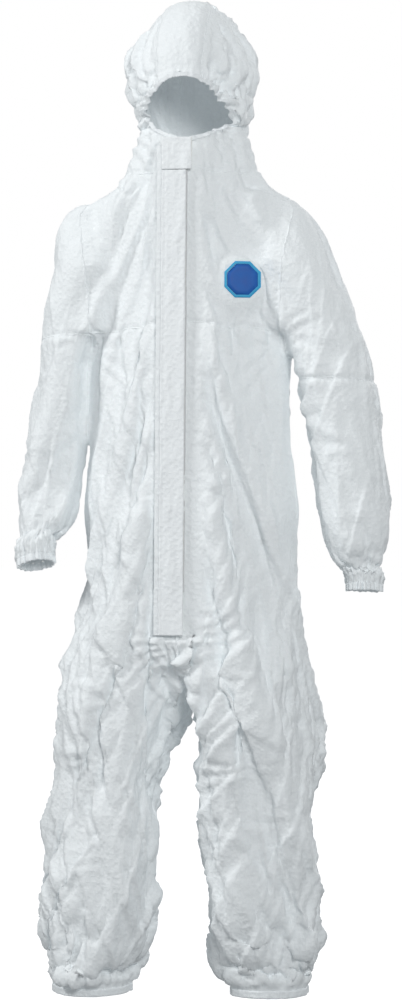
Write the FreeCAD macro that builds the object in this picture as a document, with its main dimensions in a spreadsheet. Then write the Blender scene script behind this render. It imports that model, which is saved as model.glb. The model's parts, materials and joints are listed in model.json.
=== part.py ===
"""Hooded disposable protective coverall: cloth panels, storm flap, coil zipper, hood and elastics.

Millimetres. +Z is up, the zipper faces -Y and the wearer's left arm is on +X. The origin is on the
floor between the two trouser hems. Each cloth panel is a thin wall between an outer form and a lining
form that is one cloth thickness smaller, parted along the garment's seams.
"""
import FreeCAD, Part
import math
import os

V = FreeCAD.Vector
doc = FreeCAD.newDocument("protective_coverall")
sheet = doc.addObject("Spreadsheet::Sheet", "sizes")

SIZES = {
    # Cloth and seams of the body.
    "cloth": 1.5,
    "crotch_height": 612.0,
    "chest_seam": 1190.0,
    "brow_seam": 1540.0,
    "brow_gap": 0.3,
    "upper_sleeve_left_end": 1106.0,
    "upper_sleeve_right_end": 1186.0,
    # Centre-front line and the gap that the zipper closes.
    "front_at_crotch": -128.2,
    "front_slope": 0.035,
    "front_gap": 8.0,
    "gap_bottom": 728.0,
    "gap_top": 1530.0,
    # Cuff and ankle hems with their elastics.
    "hem_height": 14.0,
    "hem_wall": 5.0,
    "cuff_bore": 28.0,
    "ankle_bore": 66.0,
    "elastic_width": 8.0,
    "elastic_wall": 2.0,
    # Hood crown and face opening.
    "crown_x": 112.0,
    "crown_y": 128.0,
    "crown_z": 140.0,
    "crown_centre_y": 12.0,
    "crown_centre_z": 1632.0,
    "hood_strip": 45.0,
    "face_half": 76.0,
    "face_centre_x": 8.0,
    "face_centre_z": 1551.0,
    "face_point_z": 1509.0,
    "face_hem": 9.0,
    "face_elastic": 3.0,
    # Zipper tapes, coils and stops; fronts and backs are distances from the centre-front line.
    "zip_bottom": 716.0,
    "zip_length": 788.0,
    "tape_inner": 1.0,
    "tape_outer": 15.0,
    "tape_front": 0.9,
    "tape_back": -0.6,
    "coil_bottom": 732.0,
    "coil_length": 764.0,
    "coil_inner": 0.6,
    "coil_outer": 3.2,
    "coil_front": 2.9,
    "top_stop_height": 1498.0,
    "bottom_stop_height": 726.0,
    "stop_height": 4.0,
    "stop_front": 3.3,
    # Zipper slider with its bail.
    "slider_height": 1482.0,
    "slider_length": 14.0,
    "slider_half": 5.0,
    "plate_front": 4.15,
    "plate_back": 3.15,
    "rear_plate_front": 0.35,
    "rear_plate_back": 1.35,
    "post_half": 0.35,
    "flange_inner": 3.6,
    "flange_back": 1.15,
    "bail_half": 0.8,
    "bail_foot_low": 1484.0,
    "bail_foot_high": 1492.8,
    "bail_leg": 1.2,
    "bail_length": 10.0,
    "bail_front": 5.85,
    "bail_back": 5.15,
    # Pull tab.
    "tab_width": 8.0,
    "tab_length": 30.0,
    "tab_corner": 2.0,
    "eye_half": 1.6,
    "eye_length": 7.75,
    "pivot_radius": 0.35,
    "pivot_rise": 6.75,
    "pivot_front": 4.65,
    # Storm flap, chin flap, their facing and adhesive tapes.
    "flap_sewn_x": -30.0,
    "flap_free_x": 14.0,
    "flap_bottom": 640.0,
    "flap_length": 816.5,
    "flap_front": 7.4,
    "flap_back": 6.2,
    "chin_bottom": 1457.0,
    "chin_length": 57.0,
    "chin_free_x": 24.0,
    "hinge_gap": 0.3,
    "facing_width": 8.0,
    "facing_length": 860.0,
    "facing_front": 7.1,
    "facing_depth": -12.0,
    "adhesive_width": 7.0,
    "adhesive_back": 5.9,
    # Emblem on the chest.
    "badge_x": 110.0,
    "badge_z": 1264.0,
    "badge_flats": 64.0,
    "badge_border": 5.0,
    "badge_wall": 1.0,
    "badge_depth": 9.0,
    # Waist elastic inside the back.
    "waist_height": 956.0,
    "waist_width": 20.0,
    "waist_wall": 1.2,
    "waist_half_width": 183.6,
    "waist_back": 108.6,
    "waist_end_y": 20.0,
    "waist_clearance": 2.0,
    # Size label inside the neck.
    "label_width": 44.0,
    "label_height": 28.0,
    "label_wall": 0.6,
    "label_front": 96.5,
    "label_z": 1431.0,
    # Reach of the cutting blocks, well past the garment.
    "reach": 600.0,
    "above_all": 1900.0,
}
# Body sections from the neck down: height, half width, back face.
TORSO = [(1462, 99.5, 100.5), (1455, 135, 101), (1437, 182, 104), (1415, 199, 109), (1385, 199, 114),
         (1300, 188, 121), (1190, 184, 117), (1085, 183, 111), (984, 185, 110), (857, 200, 117),
         (731, 202, 121), (655, 214, 120), (612, 219, 119)]
# Hood neck sections: height, half width, front face, back face.
NECK = [(1462, 99.5, -98.45, 100.5), (1500, 92, -97.12, 103), (1540, 84.43, -84.49, 108.49)]
# Leg sections: height, centre x, centre y, outer half width, inner half width, half depth. The
# wearer stands with the right foot forward and further out.
LEG = {
    "left": [(583, 75, -2, 147, 66, 119), (533, 95, 0, 128, 79, 116), (483, 127, 0, 97, 97, 112),
             (433, 133, 0, 94, 94, 106), (383, 137, 0, 91, 91, 100), (333, 139, 0, 86, 86, 95),
             (233, 139, 0, 82, 82, 90), (132, 139, 0, 82, 82, 87), (82, 144, 0, 76, 76, 82),
             (32, 143, 0, 71, 71, 74), (14, 143, 0, 68, 68, 68)],
    "right": [(583, 80, -6, 141, 62, 119), (533, 100, -8, 126, 71, 115), (483, 136, -10, 94, 94, 110),
              (433, 144, -15, 87, 87, 103), (383, 155, -20, 81, 81, 97), (333, 157, -25, 83, 83, 93),
              (233, 160, -33, 84, 84, 89), (132, 168, -40, 81, 81, 85), (82, 169, -40, 79, 79, 82),
              (32, 171, -40, 74, 74, 76), (14, 171, -40, 68, 68, 68)],
}
# Sleeve sections from the shoulder down: x, y, height, half depth, half width.
SLEEVE = {
    "left": [(140, 0, 1380, 78, 72), (192, 3, 1310, 84, 78), (232, 6, 1235, 80, 73), (268, 8, 1140, 74, 66),
             (285, 8, 1080, 70, 63.5), (300, 8, 984, 67, 62), (306, 6, 900, 63, 60), (310, 4, 834, 59, 56.5),
             (314, 2, 784, 50, 49), (313, 1, 759, 41, 40.5), (312, 0, 742, 31, 30.9), (312, -1, 730, 31, 30.9)],
    "right": [(-140, 0, 1380, 78, 72), (-185, 3, 1310, 84, 78), (-214, 5, 1235, 80, 73),
              (-241.5, 5, 1140, 74, 51.5), (-247.5, 3, 1050, 70, 57.5), (-259, 0, 984, 66, 59.5),
              (-270, -12, 908, 60, 54), (-277, -36, 845, 54, 49.5), (-278, -48, 808, 42, 40),
              (-273, -56, 786, 31, 30.9), (-270, -60, 773, 31, 30.9)],
}
# Side seam and inseam line of each side, seen from the side: y, height.
SIDE_SEAM = {
    "left": [(0, -5), (0, 1475)],
    "right": [(-40, -5), (-40, 132), (-25, 333), (-10, 483), (0, 612), (0, 1475)],
}
SIDES = {"left": 1, "right": -1}
# Layers of the hood's hem and of its elastic: first and last depth, in cloth thicknesses inwards
# from the hood's outer face.
FACE_HEM_LAYER = (-0.6, 1.6)
FACE_ELASTIC_LAYER = (0.1, 0.9)


def store(name, value):
    """Write one driving size into the sheet under its own alias."""
    store.row += 1
    sheet.set("A%d" % store.row, name)
    sheet.set("B%d" % store.row, repr(float(value)))
    sheet.setAlias("B%d" % store.row, name)


store.row = 0
for name, value in SIZES.items():
    store(name, value)
for index, (height, half_width, back) in enumerate(TORSO):
    store("torso%d_height" % index, height)
    store("torso%d_half_width" % index, half_width)
    store("torso%d_back" % index, back)
for side, rows in SLEEVE.items():
    for index, row in enumerate(rows):
        store("sleeve_%s%d_half_depth" % (side, index), row[3])
        store("sleeve_%s%d_half_width" % (side, index), row[4])
doc.recompute()


def size(name):
    return float(sheet.get(name))


def evaluate(expression):
    """Present value of an expression of the sheet, for a placement that is tilted."""
    return float(sheet.evalExpression(expression))


def add(kind, name, **expressions):
    """Add a document object whose properties are bound to expressions of the sheet."""
    thing = doc.addObject(kind, name)
    for prop, expression in expressions.items():
        thing.setExpression(prop.replace("__", "."), expression)
    return thing


def cut(name, base, tool):
    thing = add("Part::Cut", name)
    thing.Base = base
    thing.Tool = tool
    return thing


def common(name, base, tool):
    thing = add("Part::Common", name)
    thing.Base = base
    thing.Tool = tool
    return thing


def fuse(name, base, tool):
    thing = add("Part::Fuse", name)
    thing.Base = base
    thing.Tool = tool
    return thing


def loft(name, sections):
    thing = add("Part::Loft", name)
    thing.Sections = sections
    thing.Solid = True
    thing.Ruled = True
    return thing


def box(name, x0, x1, y0, y1, z0, z1):
    """A block between two corners, each bound given as an expression of the sheet."""
    return add("Part::Box", name, Length="(%s) - (%s)" % (x1, x0), Width="(%s) - (%s)" % (y1, y0),
               Height="(%s) - (%s)" % (z1, z0), Placement__Base__x=x0, Placement__Base__y=y0,
               Placement__Base__z=z0)


def slab(name, low, high, x0="-sizes.reach", x1="sizes.reach"):
    """A cutting block between two heights that reaches past the garment."""
    return box(name, x0, x1, "-sizes.reach", "sizes.reach", low, high)


def fixed(name, shape):
    """A plain shape computed from the sheet's sizes."""
    thing = doc.addObject("Part::Feature", name)
    thing.Shape = shape
    thing.Placement = FreeCAD.Placement()
    return thing


def front_y(height):
    """The straight centre-front line that the zipper runs along."""
    return size("front_at_crotch") + size("front_slope") * (height - size("crotch_height"))


def half_ellipse(centre, half_x, half_y, start, end):
    """An elliptical arc about a vertical axis, from one angle to another in degrees."""
    circle = Part.Circle(V(0, 0, 0), V(0, 0, 1), 1)
    arc = Part.ArcOfCircle(circle, math.radians(start), math.radians(end)).toNurbs()
    for index, pole in enumerate(arc.getPoles()):
        arc.setPole(index + 1, centre + V(pole.x * half_x, pole.y * half_y, 0))
    return arc.toShape()


def torso_at(height):
    """Half width and back face of the body at a height."""
    for (top, *upper), (foot, *lower) in zip(TORSO, TORSO[1:]):
        if foot <= height <= top:
            share = (height - foot) / (top - foot)
            return [low + share * (high - low) for low, high in zip(lower, upper)]


def d_section(name, side, height, half_width, front, back, flat_x):
    """Half of a body section, closed by a straight edge beside the centre plane."""
    centre = V(0, (front + back) / 2, height)
    lean = math.degrees(math.asin(flat_x / half_width))
    arc = half_ellipse(centre, side * half_width, (back - front) / 2, lean - 90, 90 - lean)
    first, last = arc.Vertexes[0].Point, arc.Vertexes[-1].Point
    return fixed(name, Part.Wire([arc, Part.LineSegment(last, first).toShape()]))


def leg_section(name, side, row, shrink):
    """A trouser section, fuller on its outer side near the crotch."""
    height, x, y, outer_half, inner_half, half_depth = row
    centre = V(side * x, y, height)
    outer = half_ellipse(centre, side * (outer_half - shrink), half_depth - shrink, -90, 90)
    inner = half_ellipse(centre, side * (inner_half - shrink), half_depth - shrink, 90, 270)
    return fixed(name, Part.Wire([outer, inner]))


def torso_form(name, side, shrink):
    """Solid half of the body between the neck seam and the crotch; the lining runs past the centre."""
    inset = shrink * size("cloth")
    sections = []
    for index in range(len(TORSO)):
        height, half_width, back = [size("torso%d_%s" % (index, key)) for key in ("height", "half_width", "back")]
        sections.append(d_section("%s_section%d" % (name, index), side, height, half_width - inset,
                                  front_y(height) + inset, back - inset, -inset))
    return loft(name, sections)


def leg_form(name, side, shrink):
    """Solid trouser form from the crotch plane to the hem."""
    height, half_width, back = TORSO[-1]
    inset = shrink * size("cloth")
    sections = [d_section(name + "_top", side, height, half_width - inset, front_y(height) + inset,
                          back - inset, inset)]
    for index, row in enumerate(LEG["left" if side > 0 else "right"]):
        sections.append(leg_section("%s_section%d" % (name, index), side, row, inset))
    return loft(name, sections)


def sleeve_form(name, side, shrink, overrun):
    """Solid sleeve form that follows the hanging arm."""
    rows = SLEEVE[side]
    sections = []
    hem_axis = (V(*rows[-1][:3]) - V(*rows[-2][:3])).normalize()
    for index, row in enumerate(rows):
        along = V(0, 0, -1) if index < len(rows) - 2 else hem_axis
        place = V(*row[:3])
        if index == len(rows) - 1:
            place = place + along * overrun
        alias = "sizes.sleeve_%s%d_" % (side, index)
        section = add("Part::Ellipse", "%s_section%d" % (name, index),
                      MajorRadius="%shalf_depth - %g * sizes.cloth" % (alias, shrink),
                      MinorRadius="%shalf_width - %g * sizes.cloth" % (alias, shrink))
        forward = (V(0, 1, 0) - along * along.y).normalize()
        section.Placement = FreeCAD.Placement(place, FreeCAD.Rotation(forward, along.cross(forward), along))
        sections.append(section)
    return loft(name, sections)


def neck_form(name, shrink):
    """Solid form of the lower hood, from the neck seam to the crown."""
    sections = []
    for index, (height, half_width, front, back) in enumerate(NECK):
        inset = shrink * size("cloth")
        half_depth = (back - front) / 2 - inset
        arc = [half_ellipse(V(0, (front + back) / 2, height), half_width - inset, half_depth, start,
                            start + 180) for start in (-90, 90)]
        sections.append(fixed("%s_section%d" % (name, index), Part.Wire(arc)))
    return loft(name, sections)


def crown_form(name, shrink):
    """Solid egg of the hood's crown."""
    return add("Part::Ellipsoid", name, Radius1="sizes.crown_z - %g * sizes.cloth" % shrink,
               Radius2="sizes.crown_x - %g * sizes.cloth" % shrink,
               Radius3="sizes.crown_y - %g * sizes.cloth" % shrink,
               Placement__Base__y="sizes.crown_centre_y", Placement__Base__z="sizes.crown_centre_z")


def prism(name, outline, direction):
    """A solid swept straight from a closed outline."""
    wire = fixed(name + "_outline", outline)
    thing = add("Part::Extrusion", name)
    thing.Base = wire
    thing.Dir = direction
    thing.LengthFwd = direction.Length
    thing.Solid = True
    return thing


def face_prism(name, grow):
    """Egg-shaped bore through the front of the hood: round above, a blunt point below."""
    half = size("face_half") + grow
    x, z = size("face_centre_x"), size("face_centre_z")
    low = z - size("face_point_z") + grow
    y = -size("reach")
    left, right = V(x - half, y, z), V(x + half, y, z)
    top, foot = V(x, y, z + half), V(x, y, z - low)
    bulge = 0.72
    lower_left = V(x - half * bulge, y, z - low * bulge)
    lower_right = V(x + half * bulge, y, z - low * bulge)
    edges = [Part.Arc(left, top, right), Part.Arc(right, lower_right, foot), Part.Arc(foot, lower_left, left)]
    wire = Part.Wire([edge.toShape() for edge in edges])
    return prism(name, wire, V(0, size("reach"), 0))


def part(name, thing):
    """Register one finished piece under the name that its file takes."""
    thing.Label = name
    PARTS[name] = thing
    return thing


def front_side(side):
    """Everything in front of one side's seam line."""
    reach = size("reach")
    seam = [V(-reach, y, z) for y, z in SIDE_SEAM[side]]
    outline = seam + [V(-reach, -reach, seam[-1].z), V(-reach, -reach, seam[0].z), seam[0]]
    return prism("front_side_" + side, Part.makePolygon(outline), V(2 * reach, 0, 0))


def zip_placement(height):
    """Frame on the zipper line: local Z up the line, local -Y away from the body."""
    tilt = math.degrees(math.atan(size("front_slope")))
    return FreeCAD.Placement(V(0, front_y(height), height), FreeCAD.Rotation(V(1, 0, 0), -tilt))


def strip(name, height, x0, x1, front, back, length):
    """A flat bar along the zipper line; front and back are distances outwards from it."""
    bar = add("Part::Box", name, Length="(%s) - (%s)" % (x1, x0), Width="(%s) - (%s)" % (front, back),
              Height=length)
    offset = FreeCAD.Placement(V(evaluate(x0), -evaluate(front), 0), FreeCAD.Rotation())
    bar.Placement = zip_placement(evaluate(height)).multiply(offset)
    return bar


def body_panels():
    """Yokes, full-length front and back panels of both sides."""
    for side, sign in SIDES.items():
        half = cut("torso_half_" + side, torso_outer[side], torso_lining[side])
        leg = cut("leg_shell_" + side, leg_form("leg_outer_" + side, sign, 0),
                  leg_form("leg_lining_" + side, sign, 1))
        fore = front_side(side)
        for face, select in (("front", common), ("back", cut)):
            upper = select("%s_torso_%s" % (face, side), half, fore)
            lower = select("%s_trouser_%s" % (face, side), leg, fore)
            yoke = common("%s_yoke_whole_%s" % (face, side), upper, above_chest)
            yoke = cut("%s_yoke_hole_%s" % (face, side), yoke, sleeve_linings[side])
            waist = cut("%s_waist_%s" % (face, side), upper, above_chest)
            panel = fuse("%s_panel_%s" % (face, side), waist, lower)
            if face == "front":
                yoke = cut("front_yoke_open_" + side, yoke, zip_gap)
                panel = cut("front_panel_open_" + side, panel, zip_gap)
            part("%s_yoke_%s" % (face, side), yoke)
            part("%s_leg_%s" % (face, side), panel)


def sleeves():
    """Two tapered sleeves, each with an upper and a lower panel."""
    for side in SIDES:
        shell = cut("sleeve_shell_" + side, sleeve_form("sleeve_outer_" + side, side, 0, 0),
                    sleeve_linings[side])
        shell = cut("sleeve_set_in_" + side, shell, torso_outer[side])
        above = slab("above_seam_" + side, "sizes.upper_sleeve_%s_end" % side, "sizes.above_all")
        part("sleeve_upper_" + side, common("sleeve_upper_cut_" + side, shell, above))
        part("sleeve_lower_" + side, cut("sleeve_lower_cut_" + side, shell, above))


def ring(name, place, inner, outer, low, height):
    """A tube about the local Z of a placement, starting at a height above it."""
    lift = place.multiply(FreeCAD.Placement(V(0, 0, evaluate(low)), FreeCAD.Rotation()))
    outside = add("Part::Cylinder", name + "_outside", Radius=outer, Height=height)
    inside = add("Part::Cylinder", name + "_inside", Radius=inner, Height=height)
    outside.Placement = lift
    inside.Placement = lift
    return cut(name, outside, inside)


def hem(limb, side, bore, place):
    """A folded hem tube with the elastic ring sealed inside it."""
    inner = bore + " + (sizes.hem_wall - sizes.elastic_wall) / 2"
    outer = bore + " + (sizes.hem_wall + sizes.elastic_wall) / 2"
    margin = "(sizes.hem_height - sizes.elastic_width) / 2"
    tube = ring("%s_tube_%s" % (limb, side), place, bore, bore + " + sizes.hem_wall", "0", "sizes.hem_height")
    elastic = ring("%s_band_%s" % (limb, side), place, inner, outer, margin, "sizes.elastic_width")
    part("%s_hem_%s" % (limb, side), cut("%s_casing_%s" % (limb, side), tube, elastic))
    part("%s_elastic_%s" % (limb, side), elastic)


def hems():
    """Elastic hems at both wrists and both ankles."""
    for side, sign in SIDES.items():
        end, before = V(*SLEEVE[side][-1][:3]), V(*SLEEVE[side][-2][:3])
        cuff_place = FreeCAD.Placement(end, FreeCAD.Rotation(V(0, 0, 1), end - before))
        hem("cuff", side, "sizes.cuff_bore", cuff_place)
        ankle_x, ankle_y = LEG[side][-1][1:3]
        ankle_place = FreeCAD.Placement(V(sign * ankle_x, ankle_y, 0), FreeCAD.Rotation())
        hem("ankle", side, "sizes.ankle_bore", ankle_place)


def layer(name, form, depths, bore):
    """The part of a bore's rim that lies between two depths under a form's outer face."""
    wall = cut(name + "_wall", form(name + "_outer", depths[0]), form(name + "_inner", depths[1]))
    return common(name + "_slice", wall, bore)


def hood():
    """Three-panel crown over a two-panel neck, with an elastic hem round the face."""
    below_crown = slab("below_crown", "0", "sizes.brow_seam + sizes.brow_gap")
    strip_box = slab("strip_box", "0", "sizes.above_all", "-sizes.hood_strip", "sizes.hood_strip")
    halves = {"left": slab("hood_half_left", "0", "sizes.above_all", x0="0"),
              "right": slab("hood_half_right", "0", "sizes.above_all", x1="0")}
    face_cut = face_prism("face_cut", 0)
    crown = cut("crown_shell", crown_form("crown_outer", 0), crown_form("crown_lining", 1))
    crown = cut("crown_open", cut("crown_cap", crown, below_crown), face_cut)
    neck = cut("neck_shell", neck_outer, neck_form("neck_lining", 1))
    neck = cut("neck_gap", cut("neck_open", neck, face_cut), zip_gap)
    part("hood_centre_panel", common("hood_centre_cut", crown, strip_box))
    flanks = cut("hood_flanks", crown, strip_box)
    for side in SIDES:
        part("hood_side_" + side, common("hood_side_cut_" + side, flanks, halves[side]))
        part("hood_neck_" + side, common("hood_neck_cut_" + side, neck, halves[side]))

    rim = cut("face_rim", face_cut, face_prism("face_bore", -size("face_hem")))
    core = cut("face_core", face_prism("face_core_outer", -(size("face_hem") - size("face_elastic")) / 2),
               face_prism("face_core_inner", -(size("face_hem") + size("face_elastic")) / 2))

    band = cut("hem_upper_band", layer("hem_upper", crown_form, FACE_HEM_LAYER, rim), below_crown)
    thread = cut("thread_upper_band", layer("thread_upper", crown_form, FACE_ELASTIC_LAYER, core), below_crown)
    part("face_hem_upper", cut("hem_upper_casing", band, thread))
    part("face_elastic_upper", thread)
    band = cut("hem_lower_band", layer("hem_lower", neck_form, FACE_HEM_LAYER, rim), zip_gap)
    thread = cut("thread_lower_band", layer("thread_lower", neck_form, FACE_ELASTIC_LAYER, core), zip_gap)
    casing = cut("hem_lower_casing", band, thread)
    for side in SIDES:
        part("face_hem_lower_" + side, common("hem_lower_" + side, casing, halves[side]))
        part("face_elastic_lower_" + side, common("thread_lower_" + side, thread, halves[side]))


def sewn_on(name, bar, side):
    """Trim a bar's back to the curve of the cloth that it is sewn to."""
    return cut(name + "_on_neck", cut(name + "_on_body", bar, torso_outer[side]), neck_outer)


def zipper_chain():
    """Two tapes, each with its coil, closed by a bottom stop and two top stops."""
    for side, sign in SIDES.items():
        def across(near, far):
            return (near, far) if sign > 0 else ("-" + far, "-" + near)

        x0, x1 = across("sizes.tape_inner", "sizes.tape_outer")
        tape = strip("tape_bar_" + side, "sizes.zip_bottom", x0, x1, "sizes.tape_front", "sizes.tape_back",
                     "sizes.zip_length")
        part("zipper_tape_" + side, sewn_on("tape_" + side, tape, side))
        x0, x1 = across("sizes.coil_inner", "sizes.coil_outer")
        coil = strip("coil_bar_" + side, "sizes.coil_bottom", x0, x1, "sizes.coil_front", "sizes.tape_front",
                     "sizes.coil_length")
        part("zipper_coil_" + side, coil)
        stop = strip("top_stop_bar_" + side, "sizes.top_stop_height", x0, x1, "sizes.stop_front",
                     "sizes.tape_front", "sizes.stop_height")
        part("zipper_top_stop_" + side, stop)
    bottom = strip("bottom_stop_bar", "sizes.bottom_stop_height", "-sizes.coil_outer", "sizes.coil_outer",
                   "sizes.stop_front", "sizes.tape_front", "sizes.stop_height")
    part("zipper_bottom_stop", bottom)


def zipper_slider():
    """Two plates joined by a post between the coils, with a bail for the pull tab."""
    base, length = "sizes.slider_height", "sizes.slider_length"
    front = strip("slider_front", base, "-sizes.slider_half", "sizes.slider_half", "sizes.plate_front",
                  "sizes.plate_back", length)
    back = strip("slider_back", base, "-sizes.slider_half", "sizes.slider_half", "-sizes.rear_plate_front",
                 "-sizes.rear_plate_back", length)
    post = strip("slider_post", base, "-sizes.post_half", "sizes.post_half", "sizes.plate_back",
                 "-sizes.rear_plate_front", length)
    body = fuse("slider_plates", fuse("slider_post_plate", front, post), back)
    for side, sign in SIDES.items():
        x0, x1 = ("sizes.flange_inner", "sizes.slider_half") if sign > 0 else \
            ("-sizes.slider_half", "-sizes.flange_inner")
        flange = strip("slider_flange_" + side, base, x0, x1, "sizes.plate_back", "sizes.flange_back", length)
        body = fuse("slider_with_flange_" + side, body, flange)
    half = "sizes.bail_half"
    for index, foot in enumerate(("sizes.bail_foot_low", "sizes.bail_foot_high")):
        leg = strip("bail_leg%d" % index, foot, "-" + half, half, "sizes.bail_front", "sizes.plate_front",
                    "sizes.bail_leg")
        body = fuse("slider_with_leg%d" % index, body, leg)
    bridge = strip("bail_bridge", "sizes.bail_foot_low", "-" + half, half, "sizes.bail_front",
                   "sizes.bail_back", "sizes.bail_length")
    part("zipper_slider", fuse("slider_with_bail", body, bridge))


def pull_tab():
    """Flat tab whose round top bar turns under the slider's bail."""
    plate = doc.addObject("PartDesign::Body", "pull_tab_body")
    half, foot = size("tab_width") / 2, -size("tab_length")
    rail, eye = size("eye_half"), -size("eye_length")
    corner = size("tab_corner")
    outline = [(half, 0), (half, foot + corner), (half - corner, foot), (corner - half, foot),
               (-half, foot + corner), (-half, 0), (-rail, 0), (-rail, eye), (rail, eye), (rail, 0)]
    pad = plate_pad(plate, [outline], "2 * sizes.pivot_radius")
    doc.recompute()
    place = zip_placement(size("slider_height") + size("pivot_rise"))
    centre = size("pivot_front")
    plate.Placement = place.multiply(FreeCAD.Placement(
        V(0, -centre + size("pivot_radius"), 0), FreeCAD.Rotation(V(1, 0, 0), 90)))
    bar = add("Part::Cylinder", "tab_bar", Radius="sizes.pivot_radius", Height="sizes.tab_width")
    bar.Placement = place.multiply(FreeCAD.Placement(V(-half, -centre, 0),
                                                     FreeCAD.Rotation(V(0, 0, 1), V(1, 0, 0))))
    part("zipper_pull_tab", fuse("tab_with_bar", plate, bar))


def plate_pad(body, outlines, thickness):
    """Pad closed polygons, drawn on the body's XY plane, to a bound thickness."""
    sketch = body.newObject("Sketcher::SketchObject", body.Name + "_sketch")
    plane = [item for item in body.Origin.OriginFeatures if item.Role == "XY_Plane"][0]
    sketch.AttachmentSupport = [(plane, "")]
    sketch.MapMode = "FlatFace"
    for outline in outlines:
        for first, last in zip(outline, outline[1:] + outline[:1]):
            sketch.addGeometry(Part.LineSegment(V(first[0], first[1], 0), V(last[0], last[1], 0)), False)
    pad = body.newObject("PartDesign::Pad", body.Name + "_pad")
    pad.Profile = sketch
    pad.setExpression("Length", thickness)
    body.Tip = pad
    return pad


def flaps():
    """Storm flap and chin flap, hinged on a sewn facing, each with its adhesive tape inside."""
    facing = strip("facing_bar", "sizes.flap_bottom", "sizes.flap_sewn_x - sizes.hinge_gap - sizes.facing_width",
                   "sizes.flap_sewn_x - sizes.hinge_gap", "sizes.facing_front", "sizes.facing_depth",
                   "sizes.facing_length")
    part("flap_facing", sewn_on("facing", facing, "right"))
    for name, low, length, free in (("zip_flap", "sizes.flap_bottom", "sizes.flap_length", "sizes.flap_free_x"),
                                    ("chin_flap", "sizes.chin_bottom", "sizes.chin_length",
                                     "sizes.chin_free_x")):
        part(name, strip(name + "_bar", low, "sizes.flap_sewn_x", free, "sizes.flap_front", "sizes.flap_back",
                         length))
        tape = strip(name + "_tape_bar", low, free + " - sizes.adhesive_width", free, "sizes.flap_back",
                     "sizes.adhesive_back", length)
        part(name + "_adhesive", tape)


def oval_prism(name, half_x, front, back, low, height):
    """An upright oval block."""
    centre = V(0, (front + back) / 2, low)
    arcs = [half_ellipse(centre, half_x, (back - front) / 2, start, start + 180) for start in (-90, 90)]
    return prism(name, Part.Wire(arcs), V(0, 0, height))


def waist_elastic():
    """Elastic strip sewn across the inside of the back, between the side seams."""
    half_x, back, wall = size("waist_half_width"), size("waist_back"), size("waist_wall")
    low, width = size("waist_height"), size("waist_width")
    front = front_y(low + width) + size("waist_clearance")
    outer = oval_prism("waist_outer", half_x, front, back, low, width)
    inner = oval_prism("waist_inner", half_x - wall, front + wall, back - wall, low, width)
    rear = box("waist_rear", "-sizes.reach", "sizes.reach", "sizes.waist_end_y", "sizes.reach", "0",
               "sizes.above_all")
    part("waist_elastic", common("waist_strip", cut("waist_band", outer, inner), rear))


def badge():
    """Plain eight-sided emblem in a border, bonded to the wearer's left chest."""
    height = size("badge_z")
    half_width, back = torso_at(height)
    front = front_y(height)
    half_depth, middle = (back - front) / 2, (front + back) / 2
    x = size("badge_x")
    y = -half_depth * math.sqrt(1 - (x / half_width) ** 2)
    normal = V(x / half_width ** 2, y / half_depth ** 2, 0).normalize()
    place = FreeCAD.Placement(V(x, y + middle, height) + normal * size("badge_wall"),
                              FreeCAD.Rotation(V(-normal.y, normal.x, 0), V(0, 0, 1), normal))
    rings = {"chest_badge": [size("badge_flats") / 2 - size("badge_border")],
             "badge_border": [size("badge_flats") / 2, size("badge_flats") / 2 - size("badge_border")]}
    for name, flats in rings.items():
        body = doc.addObject("PartDesign::Body", name + "_body")
        outlines = []
        for half in flats:
            reach = half / math.cos(math.pi / 8)
            outlines.append([(reach * math.cos(math.pi / 8 + turn * math.pi / 4),
                              reach * math.sin(math.pi / 8 + turn * math.pi / 4)) for turn in range(8)])
        plate_pad(body, outlines, "sizes.badge_depth")
        doc.recompute()
        body.Placement = place.multiply(FreeCAD.Placement(V(0, 0, -size("badge_depth")), FreeCAD.Rotation()))
        part(name, cut(name + "_bonded", body, torso_outer["left"]))


def size_label():
    """Blank sewn label inside the back of the neck."""
    label = box("label_block", "-sizes.label_width / 2", "sizes.label_width / 2", "sizes.label_front",
                "sizes.label_front + sizes.label_wall", "sizes.label_z", "sizes.label_z + sizes.label_height")
    part("size_label", label)


def write_parts():
    """Stop on any failed feature or unsound shape, then write every piece to its own file."""
    doc.recompute()
    for thing in doc.Objects:
        if "Invalid" in thing.State or "Error" in thing.State:
            raise RuntimeError("%s could not be built" % thing.Label)
    for name, thing in PARTS.items():
        shape = thing.Shape
        if shape.isNull() or not shape.isValid() or len(shape.Solids) != 1 or shape.Volume <= 0:
            raise RuntimeError("%s is not one sound solid" % name)
    os.makedirs("parts", exist_ok=True)
    for name, thing in PARTS.items():
        thing.Shape.exportStep("parts/%s.step" % name)


PARTS = {}
torso_outer = {side: torso_form("torso_outer_" + side, sign, 0) for side, sign in SIDES.items()}
torso_lining = {side: torso_form("torso_lining_" + side, sign, 1) for side, sign in SIDES.items()}
sleeve_linings = {side: sleeve_form("sleeve_lining_" + side, side, 1, 1.0) for side in SIDES}
neck_outer = neck_form("neck_outer", 0)
above_chest = slab("above_chest", "sizes.chest_seam", "sizes.above_all")
zip_gap = box("zip_gap", "-sizes.front_gap", "sizes.front_gap", "-sizes.reach", "0", "sizes.gap_bottom",
              "sizes.gap_top")
body_panels()
sleeves()
hems()
hood()
zipper_chain()
zipper_slider()
pull_tab()
flaps()
waist_elastic()
badge()
size_label()
write_parts()
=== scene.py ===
"""Hooded white protective coverall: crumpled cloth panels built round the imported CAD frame."""
import json
import math
import bmesh
import bpy
import numpy as np
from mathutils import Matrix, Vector
from mathutils.bvhtree import BVHTree


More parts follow.
